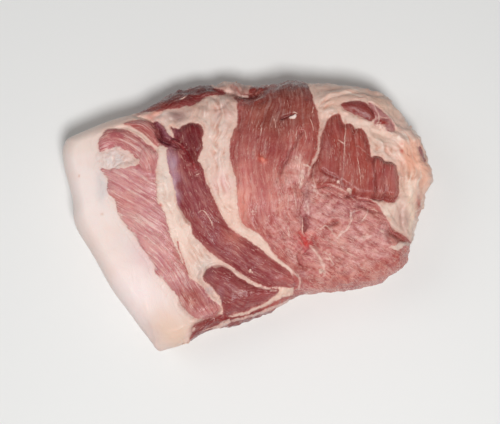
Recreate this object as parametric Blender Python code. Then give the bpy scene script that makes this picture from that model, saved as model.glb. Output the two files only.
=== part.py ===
"""Boneless pork neck, a slab of raw meat about 25 cm long, as one closed solid.

The slab rests on its fat cap, with the cut side up and the thick pale back fat along its -X side.
A square grid is drawn out to the slab's plan. Its inner part becomes the crown, and its rim bends
over the shoulder and down to a flat resting face. Muscles swell above the seams between them.
"""
import math

import bmesh
import bpy
import numpy as np
from mathutils import Vector, noise

MM = 0.001

# Driving dimensions in millimetres
LENGTH = 247.0
WIDTH = 182.0
HEIGHT = 62.0
WIDEST_HEIGHT = 20.0
FOOT_INSET = 10.0
CROWN_BLEND = 24.0
CROWN_SHARE = 0.70
UPPER_WALL_SHARE = 0.66
GRID_ALONG = 74
GRID_ACROSS = 56
RIM_WAVE = 1.3
RIM_WAVE_LENGTH = 13.0
SMOOTH_SIDE_X = -80.0
SMOOTH_SIDE_FADE = 40.0
WALL_WAVE = 1.6
WALL_WAVE_LENGTH = 30.0
CURVE_STEPS = 5

# Plan of the slab where it stands out furthest, clockwise from its -X end
OUTLINE = [
    (-123.2, 36), (-122, 47), (-117, 51.5), (-99, 60), (-79, 66), (-70, 69), (-59, 76),
    (-42, 83.5), (-24, 88), (-8, 89.4), (2, 86), (16, 88), (33, 90.2), (50, 88.5), (68, 86.6),
    (84, 84), (96, 78), (102, 70.5), (109, 58), (117, 49), (120, 40), (124, 24),
    (119.5, 9), (117, 0), (114, -10), (112, -20), (107, -29.5), (104, -38), (88, -48),
    (72, -52), (53, -53.8), (35, -55.5), (24, -63.5), (7, -71.5), (-8, -77), (-22, -78.5),
    (-38, -87.5), (-49, -91.6), (-58, -92), (-64.5, -84.5), (-84, -58.7), (-104, -26),
    (-113.8, -8), (-116.6, 10),
]

# Width in plan of the rounded shoulder, by direction in degrees from +X
SHOULDER_WIDTHS = [
    (0, 17), (40, 20), (75, 24), (110, 24), (140, 17), (165, 12), (200, 11), (232, 13),
    (250, 21), (275, 24), (300, 17), (330, 17),
]

# Height of the crown at places across the slab: x, y, height
CROWN_HEIGHTS = [
    (-112, 38, 42), (-95, -20, 43), (-62, -75, 38), (-75, 45, 49), (-70, 5, 49), (-40, -50, 46),
    (-40, 20, 50), (-5, -35, 48), (-8, -58, 42), (-35, 75, 43), (-16, 35, 52), (0, 74, 48),
    (25, 40, 57), (30, 80, 50), (60, 30, 58), (30, -15, 53), (70, -15, 54), (60, -42, 48),
    (95, -30, 46), (105, 20, 50), (80, 68, 50), (116, 15, 45),
]

# Muscles that stand above the fat round them: rise, edge softness, outline
CENTRE_MUSCLE = (3.2, 11.0, [
    (-7, 68), (9, 77.5), (22, 83), (36, 83), (44, 70), (46, 56), (46, 37), (39, 22), (38, 0),
    (37, -20), (36, -48), (24, -34), (13, -22), (0, -14), (-4, -4), (-6, 14), (-10, 34), (-9, 50),
])
MARBLED_MUSCLE = (2.2, 12.0, [
    (40, 20), (58, 12), (76, 6), (90, -4), (94, -16), (102, -24), (103, -36), (84, -47),
    (60, -50), (38, -50), (38, -20),
])
DARK_MUSCLE = (3.4, 8.0, [
    (-47, 52), (-36, 56), (-29, 54), (-27, 47), (-30, 33), (-27, 22), (-21, 5), (-13, -11),
    (0, -20.5), (17, -31.5), (32, -46), (26, -51), (8, -48.5), (-8, -39), (-21, -31.5),
    (-33, -19), (-43, 0), (-46, 20), (-49, 36),
])
OVAL_MUSCLE = (3.6, 8.0, [
    (-27, -46), (-24, -39), (-13, -38), (0, -46.5), (17, -52), (16, -58), (2, -65), (-14, -66),
    (-20, -55),
])
PINK_BAND = (2.2, 9.0, [
    (-93, 52), (-80, 54), (-62, 57), (-57, 46), (-58, 15), (-52, -8), (-44, -29), (-34, -49),
    (-19, -64), (-29, -72), (-40, -61), (-52, -49), (-66, -27), (-80, -9), (-89, 10), (-96, 40),
])
STRIP_A = (3.4, 5.0, [
    (53, 58), (60, 62), (62, 50), (61, 26), (52, 20), (42, 23), (48, 38), (50, 50),
])
STRIP_B = (3.4, 5.0, [(64, 55), (68, 56), (70, 44), (72, 26), (68, 15), (62, 20), (63, 40)])
STRIP_C = (3.0, 5.0, [(71, 52), (76, 51), (80, 40), (80, 16), (74, 12), (72, 30)])
STEPPED_BLOCK = (4.6, 2.6, [
    (81, 32), (90, 31), (97, 27), (99, 14), (96, 5), (83, 6), (81.5, 18),
])
RIM_MUSCLE = (2.0, 5.0, [(63, 69), (72, 72), (82, 68), (92, 60), (88, 56), (76, 61)])
MUSCLES = [
    CENTRE_MUSCLE, MARBLED_MUSCLE, DARK_MUSCLE, OVAL_MUSCLE, PINK_BAND, STRIP_A, STRIP_B,
    STRIP_C, STEPPED_BLOCK, RIM_MUSCLE,
]

# Clefts that sink into the crown: depth, half width, path
DEEP_FOLD = (8.0, 5.0, [(-77, 68), (-66, 60), (-59, 54), (-52, 45), (-44, 41), (-38, 34)])
BACK_FAT_SEAM = (2.2, 4.5, [(-48, 18), (-47, 0), (-43, -20), (-38, -38), (-28, -52), (-16, -64)])
OVAL_SEAM = (2.6, 3.6, [(-30, -38), (-16, -35), (-4, -43), (8, -49), (26, -52)])
LUMP_SEAM = (1.8, 3.6, [(-82, 54), (-72, 51), (-64, 45), (-58, 37)])
TOP_HOLLOW = (5.0, 6.0, [(-10, 80), (-2, 77), (7, 77)])
STRIP_SEAM = (2.0, 3.4, [(63, 58), (62, 42), (61, 22)])
LOWER_EDGE_SEAM = (2.6, 4.0, [(33, -53), (18, -60), (0, -67), (-16, -70)])
RIM_NOTCH = (6.0, 5.0, [(94, -15), (101, -20), (110, -22)])
CLEFTS = [
    DEEP_FOLD, BACK_FAT_SEAM, OVAL_SEAM, LUMP_SEAM, TOP_HOLLOW, STRIP_SEAM, LOWER_EDGE_SEAM,
    RIM_NOTCH,
]

MEAT_RED = (0.40, 0.11, 0.10, 1.0)
MEAT_ROUGHNESS = 0.42


def spline(points, after_ends):
    """Catmull-Rom curve through points, given their neighbours one before, one and two after."""
    before, after, beyond = after_ends
    samples = []
    for step in range(CURVE_STEPS):
        t = step / CURVE_STEPS
        samples.append(0.5 * (
            2 * points
            + (after - before) * t
            + (2 * before - 5 * points + 4 * after - beyond) * t ** 2
            + (3 * points - before - 3 * after + beyond) * t ** 3
        ))
    return np.stack(samples, axis=1).reshape(-1, 2)


def closed_curve(corners):
    """Smooth closed loop through the corners, first point repeated at the end."""
    points = np.array(corners, float)
    neighbours = (np.roll(points, 1, 0), np.roll(points, -1, 0), np.roll(points, -2, 0))
    loop = spline(points, neighbours)
    return np.vstack([loop, loop[:1]])


def open_curve(corners):
    """Smooth path through the corners."""
    points = np.array(corners, float)
    padded = np.vstack([points[:1], points, points[-1:], points[-1:]])
    path = spline(points[:-1], (padded[:-4], padded[2:-2], padded[3:-1]))
    return np.vstack([path, points[-1:]])


def distance_to(path, x, y):
    """Distance in plan from each (x, y) to a path."""
    nearest = np.full(x.shape, np.inf)
    for (ax, ay), (bx, by) in zip(path[:-1], path[1:]):
        dx = bx - ax
        dy = by - ay
        along = np.clip(((x - ax) * dx + (y - ay) * dy) / (dx * dx + dy * dy), 0, 1)
        nearest = np.minimum(nearest, (x - ax - along * dx) ** 2 + (y - ay - along * dy) ** 2)
    return np.sqrt(nearest)


def is_inside(loop, x, y):
    """True where (x, y) lies inside a closed loop."""
    inside = np.zeros(x.shape, bool)
    for (ax, ay), (bx, by) in zip(loop[:-1], loop[1:]):
        if ay == by:
            continue
        crosses = (ay > y) != (by > y)
        inside ^= crosses & (x < ax + (bx - ax) * (y - ay) / (by - ay))
    return inside


def outline_radius(direction):
    """Plan radius of the slab in each direction, in radians from +X."""
    loop = closed_curve(OUTLINE)[:-1]
    angles = np.arctan2(loop[:, 1], loop[:, 0])
    radii = np.hypot(loop[:, 0], loop[:, 1])
    order = np.argsort(angles)
    return np.interp(direction, angles[order], radii[order], period=2 * math.pi)


def shoulder_width(direction):
    """Width in plan of the rounded shoulder in each direction."""
    angles = [math.radians(angle) for angle, width in SHOULDER_WIDTHS]
    widths = [width for angle, width in SHOULDER_WIDTHS]
    return np.interp(direction % (2 * math.pi), angles, widths, period=2 * math.pi)


def crown_height(x, y):
    """Height of the cut side over each (x, y): a soft hill, its muscles and its clefts."""
    weights = np.zeros(x.shape)
    heights = np.zeros(x.shape)
    for place_x, place_y, height in CROWN_HEIGHTS:
        weight = np.exp(-((x - place_x) ** 2 + (y - place_y) ** 2) / (2 * CROWN_BLEND ** 2))
        weights += weight
        heights += weight * height
    crown = heights / weights
    for rise, softness, outline in MUSCLES:
        loop = closed_curve(outline)
        inward = np.where(is_inside(loop, x, y), distance_to(loop, x, y), 0)
        share = np.clip(inward / softness, 0, 1)
        crown += rise * np.sqrt(1 - (1 - share) ** 2)
    for depth, half_width, corners in CLEFTS:
        away = distance_to(open_curve(corners), x, y)
        crown -= depth * np.exp(-(away / half_width) ** 2)
    return crown


def wave(x, y, z, wave_length):
    """Smooth unevenness between about -1 and 1 at each point."""
    points = zip(x / wave_length, y / wave_length, z / wave_length)
    return np.array([noise.noise(Vector(point)) for point in points])


def drape(s, t):
    """Carry points of the square from -1 to 1 onto the slab's surface."""
    disk_x = s * np.sqrt(1 - t * t / 2)
    disk_y = t * np.sqrt(1 - s * s / 2)
    reach = np.hypot(disk_x, disk_y)
    turn = np.arctan2(disk_y, disk_x)
    east = LENGTH / 2 * np.cos(turn)
    north = WIDTH / 2 * np.sin(turn)
    ellipse = np.hypot(east, north)
    direction = np.arctan2(north, east)
    rim_x = np.cos(direction)
    rim_y = np.sin(direction)
    radius = outline_radius(direction)
    trimmed = np.clip((radius * rim_x - SMOOTH_SIDE_X) / SMOOTH_SIDE_FADE, 0, 1)
    uneven = wave(radius * rim_x, radius * rim_y, 0 * radius, RIM_WAVE_LENGTH)
    radius += RIM_WAVE * trimmed * uneven
    shoulder = shoulder_width(direction)

    on_crown = np.clip(reach / CROWN_SHARE, 0, 1)
    plan = on_crown * (ellipse + (radius - shoulder - ellipse) * on_crown ** 2)

    down = np.clip((reach - CROWN_SHARE) / (1 - CROWN_SHARE), 0, 1)
    upper = np.clip(down / UPPER_WALL_SHARE, 0, 1) * math.pi / 2
    lower = np.clip((down - UPPER_WALL_SHARE) / (1 - UPPER_WALL_SHARE), 0, 1) * math.pi / 2
    plan += shoulder * np.sin(upper)
    plan -= FOOT_INSET * (1 - np.cos(lower))

    x = plan * rim_x
    y = plan * rim_y
    crown = crown_height(x, y)
    z = WIDEST_HEIGHT + (crown - WIDEST_HEIGHT) * np.cos(upper) ** 0.8
    z = np.where(lower > 0, WIDEST_HEIGHT * (1 - np.sin(lower)), z)

    bulge = WALL_WAVE * np.sin(upper) * np.cos(lower) * wave(x, y, z, WALL_WAVE_LENGTH)
    x += bulge * rim_x
    y += bulge * rim_y
    x = (x - (x.max() + x.min()) / 2) * LENGTH / np.ptp(x)
    y = (y - (y.max() + y.min()) / 2) * WIDTH / np.ptp(y)
    z *= HEIGHT / z.max()
    return x, y, z


def make_slab(name):
    """The slab as one closed mesh resting on z = 0."""
    slab_mesh = bmesh.new()
    bmesh.ops.create_grid(slab_mesh, x_segments=GRID_ALONG, y_segments=GRID_ACROSS, size=1.0)
    square = np.array([vertex.co[:2] for vertex in slab_mesh.verts])
    x, y, z = drape(square[:, 0], square[:, 1])
    for vertex, place in zip(slab_mesh.verts, zip(x, y, z)):
        vertex.co = Vector(place) * MM
    rim = [edge for edge in slab_mesh.edges if edge.is_boundary]
    bmesh.ops.edgeloop_fill(slab_mesh, edges=rim)
    bmesh.ops.recalc_face_normals(slab_mesh, faces=slab_mesh.faces[:])
    mesh = bpy.data.meshes.new(name)
    slab_mesh.to_mesh(mesh)
    slab_mesh.free()
    mesh.shade_smooth()
    return bpy.data.objects.new(name, mesh)


def meat_material():
    """Moist raw meat."""
    material = bpy.data.materials.new("raw_meat")
    material.use_nodes = True
    shader = material.node_tree.nodes["Principled BSDF"]
    shader.inputs["Base Color"].default_value = MEAT_RED
    shader.inputs["Roughness"].default_value = MEAT_ROUGHNESS
    shader.inputs["Metallic"].default_value = 0.0
    return material


def main():
    for leftover in list(bpy.data.objects):
        bpy.data.objects.remove(leftover, do_unlink=True)
    collection = bpy.data.collections.new("boneless_pork_neck")
    bpy.context.scene.collection.children.link(collection)
    slab = make_slab("pork_neck")
    slab.data.materials.append(meat_material())
    collection.objects.link(slab)


main()
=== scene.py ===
# %% [markdown]
# # A boneless pork neck
# A neck of pork is boned and laid with its cut side up. It shows nearly everything raw meat can
# show: dark and pale muscles with their own grain, seams of fat between them, marbling, a smooth
# pale back fat along one edge and ragged trimmed fat along the others.
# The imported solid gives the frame. It has the real size and the main relief, and it is loaded
# first so that all that follows can be measured against it.

import math

import bmesh
import bpy
import numpy as np
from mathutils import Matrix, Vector, noise
from mathutils.bvhtree import BVHTree


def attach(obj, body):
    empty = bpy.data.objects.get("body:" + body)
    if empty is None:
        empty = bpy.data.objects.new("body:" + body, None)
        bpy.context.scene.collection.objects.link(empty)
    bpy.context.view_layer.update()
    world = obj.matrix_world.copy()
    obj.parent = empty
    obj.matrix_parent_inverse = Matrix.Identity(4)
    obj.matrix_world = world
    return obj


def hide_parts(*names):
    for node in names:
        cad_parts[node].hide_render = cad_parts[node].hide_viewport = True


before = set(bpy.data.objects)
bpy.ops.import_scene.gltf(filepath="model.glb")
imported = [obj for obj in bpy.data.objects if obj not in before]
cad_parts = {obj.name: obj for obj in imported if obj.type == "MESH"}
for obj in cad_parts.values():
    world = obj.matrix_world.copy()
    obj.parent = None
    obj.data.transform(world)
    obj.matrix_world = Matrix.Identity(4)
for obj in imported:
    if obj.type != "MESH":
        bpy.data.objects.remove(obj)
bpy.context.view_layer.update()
MM = 0.001

# %% [markdown]
# ## The camera and the floor
# The meat is seen almost from straight above, leaning back a little. A long lens far away keeps
# the outline nearly free of perspective. The camera stands on a line through the floor, so its
# distance and its lean are the only two numbers to find.

# %% Place the camera and the floor
CAMERA_DISTANCE = 757 * MM
CAMERA_LEAN = math.radians(6.9)
LENS_IN_PIXELS = 1100
PICTURE_WIDTH = 500
SENSOR_WIDTH = 36.0
AIM = Vector((1.3 * MM, 3.9 * MM, 0.0))

camera_data = bpy.data.cameras.new("overhead_camera")
camera_data.sensor_width = SENSOR_WIDTH
camera_data.lens = LENS_IN_PIXELS / PICTURE_WIDTH * SENSOR_WIDTH
camera = bpy.data.objects.new("overhead_camera", camera_data)
camera.rotation_euler = (CAMERA_LEAN, 0, 0)
camera.location = AIM + CAMERA_DISTANCE * Vector((0, -math.sin(CAMERA_LEAN), math.cos(CAMERA_LEAN)))
bpy.context.scene.collection.objects.link(camera)
bpy.context.scene.camera = camera

FLOOR_SIZE = 6.0
bpy.ops.mesh.primitive_plane_add(size=FLOOR_SIZE)
floor = bpy.context.object
floor.name = "pale_floor"
floor_material = bpy.data.materials.new("pale_floor")
floor_material.use_nodes = True
floor_shader = floor_material.node_tree.nodes["Principled BSDF"]
floor_shader.inputs["Base Color"].default_value = (0.82, 0.82, 0.81, 1)
floor_shader.inputs["Roughness"].default_value = 0.9
floor.data.materials.append(floor_material)
print("camera at", [round(value, 3) for value in camera.location])

# %% [markdown]
# ## Soft studio light
# Wet meat turns to plastic under a small hard lamp. A round panel overhead, a weaker and wider one
# at the side and a pale room give the broad soft gloss of a studio picture. The plain view
# transform keeps the colours of the materials as they are written, because the filmic one greys and
# warms pinks.

# %% Hang the light panels
def hang_panel(name, place, size, power):
    """A round soft light that faces the meat."""
    light = bpy.data.lights.new(name, "AREA")
    light.shape = "DISK"
    light.size = size
    light.energy = power
    lamp = bpy.data.objects.new(name, light)
    lamp.location = place
    lamp.rotation_euler = (-Vector(place)).to_track_quat("-Z", "Y").to_euler()
    bpy.context.scene.collection.objects.link(lamp)
    return lamp


ROOM_LIGHT = 0.21
hang_panel("overhead_panel", (0.12, -0.42, 1.15), 0.30, 11.0)
hang_panel("side_panel", (-0.8, 0.2, 1.0), 0.7, 2.0)
room = bpy.data.worlds.new("pale_room")
room.use_nodes = True
room.node_tree.nodes["Background"].inputs["Color"].default_value = (1, 0.995, 0.985, 1)
room.node_tree.nodes["Background"].inputs["Strength"].default_value = ROOM_LIGHT
bpy.context.scene.world = room
bpy.context.scene.view_settings.view_transform = "Standard"

# %% [markdown]
# ## Curves and distances
# The whole slab is drawn from a few kinds of marks: closed outlines of muscles, and open paths of
# seams, clefts and grain. A smooth curve through a few corner points serves both. How far a point
# lies from such a curve then gives a height, a colour or the direction of the grain.

# %% Smooth curves through corner points
CURVE_STEPS = 5


def spline(points, neighbours):
    """Catmull-Rom curve through points, given their neighbours one before, one and two after."""
    before, after, beyond = neighbours
    samples = []
    for step in range(CURVE_STEPS):
        t = step / CURVE_STEPS
        samples.append(0.5 * (
            2 * points
            + (after - before) * t
            + (2 * before - 5 * points + 4 * after - beyond) * t ** 2
            + (3 * points - before - 3 * after + beyond) * t ** 3
        ))
    return np.stack(samples, axis=1).reshape(-1, points.shape[1])


def closed_curve(corners):
    """Smooth closed loop through the corners, first point repeated at the end."""
    points = np.array(corners, float)
    loop = spline(points, (np.roll(points, 1, 0), np.roll(points, -1, 0), np.roll(points, -2, 0)))
    return np.vstack([loop, loop[:1]])


def open_curve(corners):
    """Smooth path through the corners."""
    points = np.array(corners, float)
    padded = np.vstack([points[:1], points, points[-1:], points[-1:]])
    path = spline(points[:-1], (padded[:-4], padded[2:-2], padded[3:-1]))
    return np.vstack([path, points[-1:]])


def smooth_step(low, high, value):
    """0 below low, 1 above high, eased in between."""
    share = np.clip((value - low) / (high - low), 0, 1)
    return share * share * (3 - 2 * share)


print("curves with", CURVE_STEPS, "steps between corners")


# %% Measure points against curves
def distance_to(path, x, y):
    """Distance in plan from each (x, y) to a path."""
    nearest = np.full(x.shape, np.inf)
    for (ax, ay), (bx, by) in zip(path[:-1], path[1:]):
        dx = bx - ax
        dy = by - ay
        along = np.clip(((x - ax) * dx + (y - ay) * dy) / (dx * dx + dy * dy), 0, 1)
        nearest = np.minimum(nearest, (x - ax - along * dx) ** 2 + (y - ay - along * dy) ** 2)
    return np.sqrt(nearest)


def depth_inside(corners, x, y):
    """Distance from each (x, y) to a closed outline, positive inside it."""
    loop = closed_curve(corners)
    inside = np.zeros(x.shape, bool)
    for (ax, ay), (bx, by) in zip(loop[:-1], loop[1:]):
        if ay != by:
            crosses = (ay > y) != (by > y)
            inside ^= crosses & (x < ax + (bx - ax) * (y - ay) / (by - ay))
    return np.where(inside, 1, -1) * distance_to(loop, x, y)


# %% Measure across and along the grain
def grain_around(corners, x, y):
    """Millimetres sideways from a guide path and along it, for each (x, y)."""
    path = open_curve(corners)
    nearest = np.full(x.shape, np.inf)
    sideways = np.zeros(x.shape)
    along = np.zeros(x.shape)
    travelled = 0.0
    last = len(path) - 2
    for index, ((ax, ay), (bx, by)) in enumerate(zip(path[:-1], path[1:])):
        length = math.hypot(bx - ax, by - ay)
        dx = (bx - ax) / length
        dy = (by - ay) / length
        reach = (x - ax) * dx + (y - ay) * dy
        held = np.clip(reach, -np.inf if index == 0 else 0, np.inf if index == last else length)
        gap = np.hypot(x - ax - held * dx, y - ay - held * dy)
        closer = gap < nearest
        nearest = np.where(closer, gap, nearest)
        side = (x - ax) * dy - (y - ay) * dx
        sideways = np.where(closer, np.sign(side) * gap, sideways)
        along = np.where(closer, travelled + held, along)
        travelled += length
    return sideways, along


def grain_beside(corners, x, y):
    """The same for a guide path that is moved sideways to every fibre."""
    path = open_curve(corners)[::-1]
    steps = np.hypot(*np.diff(path, axis=0).T)
    travelled = np.concatenate([[0], np.cumsum(steps)])
    upright = np.abs(np.gradient(path[:, 1]) / np.gradient(travelled))
    sideways = (x - np.interp(y, path[:, 1], path[:, 0])) * np.interp(y, path[:, 1], upright)
    return sideways, np.interp(y, path[:, 1], travelled)


TURN_RADIUS = 40.0


def grain_about(spot, x, y):
    """The same for folds that run round one spot."""
    turn = np.arctan2(y - spot[1], x - spot[0])
    return np.hypot(x - spot[0], y - spot[1]), turn * TURN_RADIUS


GRAINS = {"around": grain_around, "beside": grain_beside}
print("rules for grain:", list(GRAINS))


# %% Make things uneven
def ripple(x, y, z, wave_length, seed=0.0):
    """Smooth unevenness between about -1 and 1 at each point."""
    points = zip(x / wave_length + seed, y / wave_length, z / wave_length)
    return np.array([noise.noise(Vector(point)) for point in points])


def frayed(x, y, sway, wave_length, seed):
    """Plan points moved to and fro a little, which tears every outline measured there."""
    flat = 0 * x
    return (
        x + sway * ripple(x, y, flat, wave_length, seed),
        y + sway * ripple(x, y, flat, wave_length, seed + 31.7),
    )


# %% [markdown]
# ## The slab's form
# These are the same named sizes as in the solid: the plan where the slab stands out furthest, the
# width of its rounded shoulder in each direction, and heights at a few places, which melt into a
# soft hill. Repeating them here keeps the fine skin close to the solid everywhere.

# %% Name the sizes of the slab
LENGTH = 247.0
WIDTH = 182.0
HEIGHT = 62.0
WIDEST_HEIGHT = 20.0
FOOT_INSET = 10.0
CROWN_BLEND = 24.0
UPPER_WALL_SHARE = 0.66
SMOOTH_SIDE_X = -80.0
SMOOTH_SIDE_FADE = 40.0

OUTLINE = [
    (-123.2, 36), (-122, 47), (-117, 51.5), (-99, 60), (-79, 66), (-70, 69), (-59, 76),
    (-42, 83.5), (-24, 88), (-8, 89.4), (2, 86), (16, 88), (33, 90.2), (50, 88.5), (68, 86.6),
    (84, 84), (96, 78), (102, 70.5), (109, 58), (117, 49), (120, 40), (124, 24),
    (119.5, 9), (117, 0), (114, -10), (112, -20), (107, -29.5), (104, -38), (88, -48),
    (72, -52), (53, -53.8), (35, -55.5), (24, -63.5), (7, -71.5), (-8, -77), (-22, -78.5),
    (-38, -87.5), (-49, -91.6), (-58, -92), (-64.5, -84.5), (-84, -58.7), (-104, -26),
    (-113.8, -8), (-116.6, 10),
]
SHOULDER_WIDTHS = [
    (0, 17), (40, 20), (75, 24), (110, 24), (140, 17), (165, 12), (200, 11), (232, 13),
    (250, 21), (275, 24), (300, 17), (330, 17),
]
CROWN_HEIGHTS = [
    (-112, 38, 42), (-95, -20, 43), (-62, -75, 38), (-75, 45, 49), (-70, 5, 49), (-40, -50, 46),
    (-40, 20, 50), (-5, -35, 48), (-8, -58, 42), (-35, 75, 43), (-16, 35, 52), (0, 74, 48),
    (25, 40, 57), (30, 80, 50), (60, 30, 58), (30, -15, 53), (70, -15, 54), (60, -42, 48),
    (95, -30, 46), (105, 20, 50), (80, 68, 50), (116, 15, 45),
]
print("slab", LENGTH, "by", WIDTH, "by", HEIGHT, "mm")

# %% [markdown]
# ## The muscles
# A neck is a bundle of muscles cut across or along their grain. Each one is an outline, a rise
# above the fat beside it, and a rule for its grain. Fibres bend with their muscle, so a path says
# more than one angle could. Some follow a path "around" its bends, and others are one path moved
# "beside" itself. Colours are those the eye sees, less the pale sheen that every wet surface
# adds, and are made linear once.

# %% Describe a muscle
SHEEN = 0.016


def seen(red, green, blue):
    """A colour as the eye sees it, 0 to 255, made linear and freed of sheen."""
    linear = []
    for value in (red, green, blue):
        share = value / 255
        share = share / 12.92 if share <= 0.04045 else ((share + 0.055) / 1.055) ** 2.4
        linear.append(max(share - SHEEN, 0.004))
    return np.array(linear)


def muscle(name, rise, softness, colour, streak, marble, grain, outline):
    """All that is known of one muscle."""
    return {
        "name": name, "rise": rise, "softness": softness, "colour": seen(*colour),
        "streak": streak, "marble": marble, "grain": grain, "outline": outline,
    }


print("sheen taken off each colour:", SHEEN)

# %% Outline the middle and the marbled end
MUSCLES = [
    # Partly the dark red of the top hollow's floor, partly painted shade of the hollow.
    muscle("dark_and_shaded_hollow_floor", 0.0, 3, (112, 50, 46), 0.2, 0.2, ("around", [
        (-7, 74), (2, 76), (11, 77),
    ]), [
        (-8.4, 74), (-5, 77.6), (2, 78.6), (8, 79.4), (11.6, 77), (8, 73), (3, 71), (-3, 70.6),
        (-7, 71.4),
    ]),
    muscle("marbled_end", 2.2, 12, (193, 121, 114), 0.6, 1.0, ("beside", [
        (-40, 62), (20, 18), (60, -6), (100, -30), (150, -66),
    ]), [
        (38, 20), (52, 15), (66, 9), (74, 6), (82, 4), (86, 0), (90, -6), (95, -14), (108, -21),
        (112, -27), (108, -38), (98, -46), (84, -55), (60, -60), (34, -60), (30.6, -50),
        (30.6, -30), (32, -10), (32, 12),
    ]),
    muscle("centre", 3.2, 11, (174, 96, 90), 0.6, 0.25, ("beside", [
        (15, 92), (15, 60), (11, 30), (13, 0), (19, -13), (30, -26), (56, -52),
    ]), [
        (-5.6, 70), (0, 71.5), (5, 73), (9, 77.5), (14, 83), (24, 92), (38, 90), (42, 78),
        (44.5, 70), (47.4, 58), (47, 48), (46, 37), (42, 28), (39, 21), (36, 13), (39.6, 5),
        (36, -3), (39, -11), (35, -18), (39, -25), (34, -33), (38.4, -41), (34.6, -47), (36, -51),
        (32, -44.4), (28, -39.6), (24, -36), (20.1, -32.6), (16.1, -27.2), (13.1, -22.4),
        (9.2, -18.6), (4.2, -15.2), (0, -12.8), (-4, -7), (-5.2, 0), (-5.8, 12), (-6.8, 20),
        (-9.3, 28), (-10.4, 37.5), (-9.7, 44), (-8.4, 51), (-5.5, 55.6), (-5.8, 64),
    ]),
]
print(len(MUSCLES), "muscles")

# %% Outline the pink band and its lumps
MUSCLES += [
    muscle("pink_band", 2.2, 9, (207, 154, 156), 1.0, 0.1, ("beside", [
        (-116, 42), (-72, 19), (-34, -8), (-10, -36), (12, -76),
    ]), [
        (-95, 27), (-88, 25.4), (-80, 30), (-70, 34), (-64, 42), (-58.4, 36), (-58.5, 27),
        (-58, 15), (-57, 4), (-53, -3), (-50.6, -12), (-47.3, -22.4), (-44.2, -28.7), (-41.2, -35),
        (-38.4, -41), (-34.5, -46.5), (-28.6, -51.4), (-24.8, -56), (-21.4, -60.4), (-17.2, -63.6),
        (-17.6, -67.6), (-21, -71), (-28.6, -72.8), (-33.5, -71.6), (-38.2, -67.4), (-42.4, -62),
        (-44, -57.6), (-51, -49.8), (-57.5, -43), (-60.3, -36), (-66.3, -26.6), (-72, -18.5),
        (-79.3, -9.3), (-83.2, -2.5), (-84.5, 4.5), (-88.8, 9), (-90.2, 14), (-90.2, 19.5),
    ]),
    muscle("lower_lump", 2.6, 7, (192, 128, 128), 0.8, 0.1, ("around", [
        (-98, 45), (-86, 48), (-74, 43), (-65, 34), (-60, 20),
    ]), [
        (-96.5, 43), (-94.4, 48), (-93, 51.2), (-90, 52.8), (-85, 53), (-79.8, 52.5), (-75, 50.6),
        (-70.6, 47.8), (-66.4, 44.3), (-61.8, 39.6), (-57.6, 35.8), (-57.8, 30), (-59.5, 23),
        (-66, 23), (-70.5, 27), (-74, 31), (-78, 34.6), (-84.5, 38.2), (-90.5, 38), (-95.5, 38.5),
    ]),
    muscle("upper_lump", 2.6, 6, (177, 108, 104), 0.65, 0.1, ("around", [
        (-82, 54), (-70, 55), (-61, 48), (-57, 40),
    ]), [
        (-80, 55.6), (-76.8, 57.6), (-70.4, 58.8), (-66.3, 58.8), (-62.1, 57.4), (-59.4, 54.8),
        (-57.4, 51), (-56.2, 45), (-56.6, 40.4), (-59.4, 41.6), (-63.5, 46.4), (-68.4, 50.4),
        (-73.3, 53.4),
    ]),
]
print(len(MUSCLES), "muscles")

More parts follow.
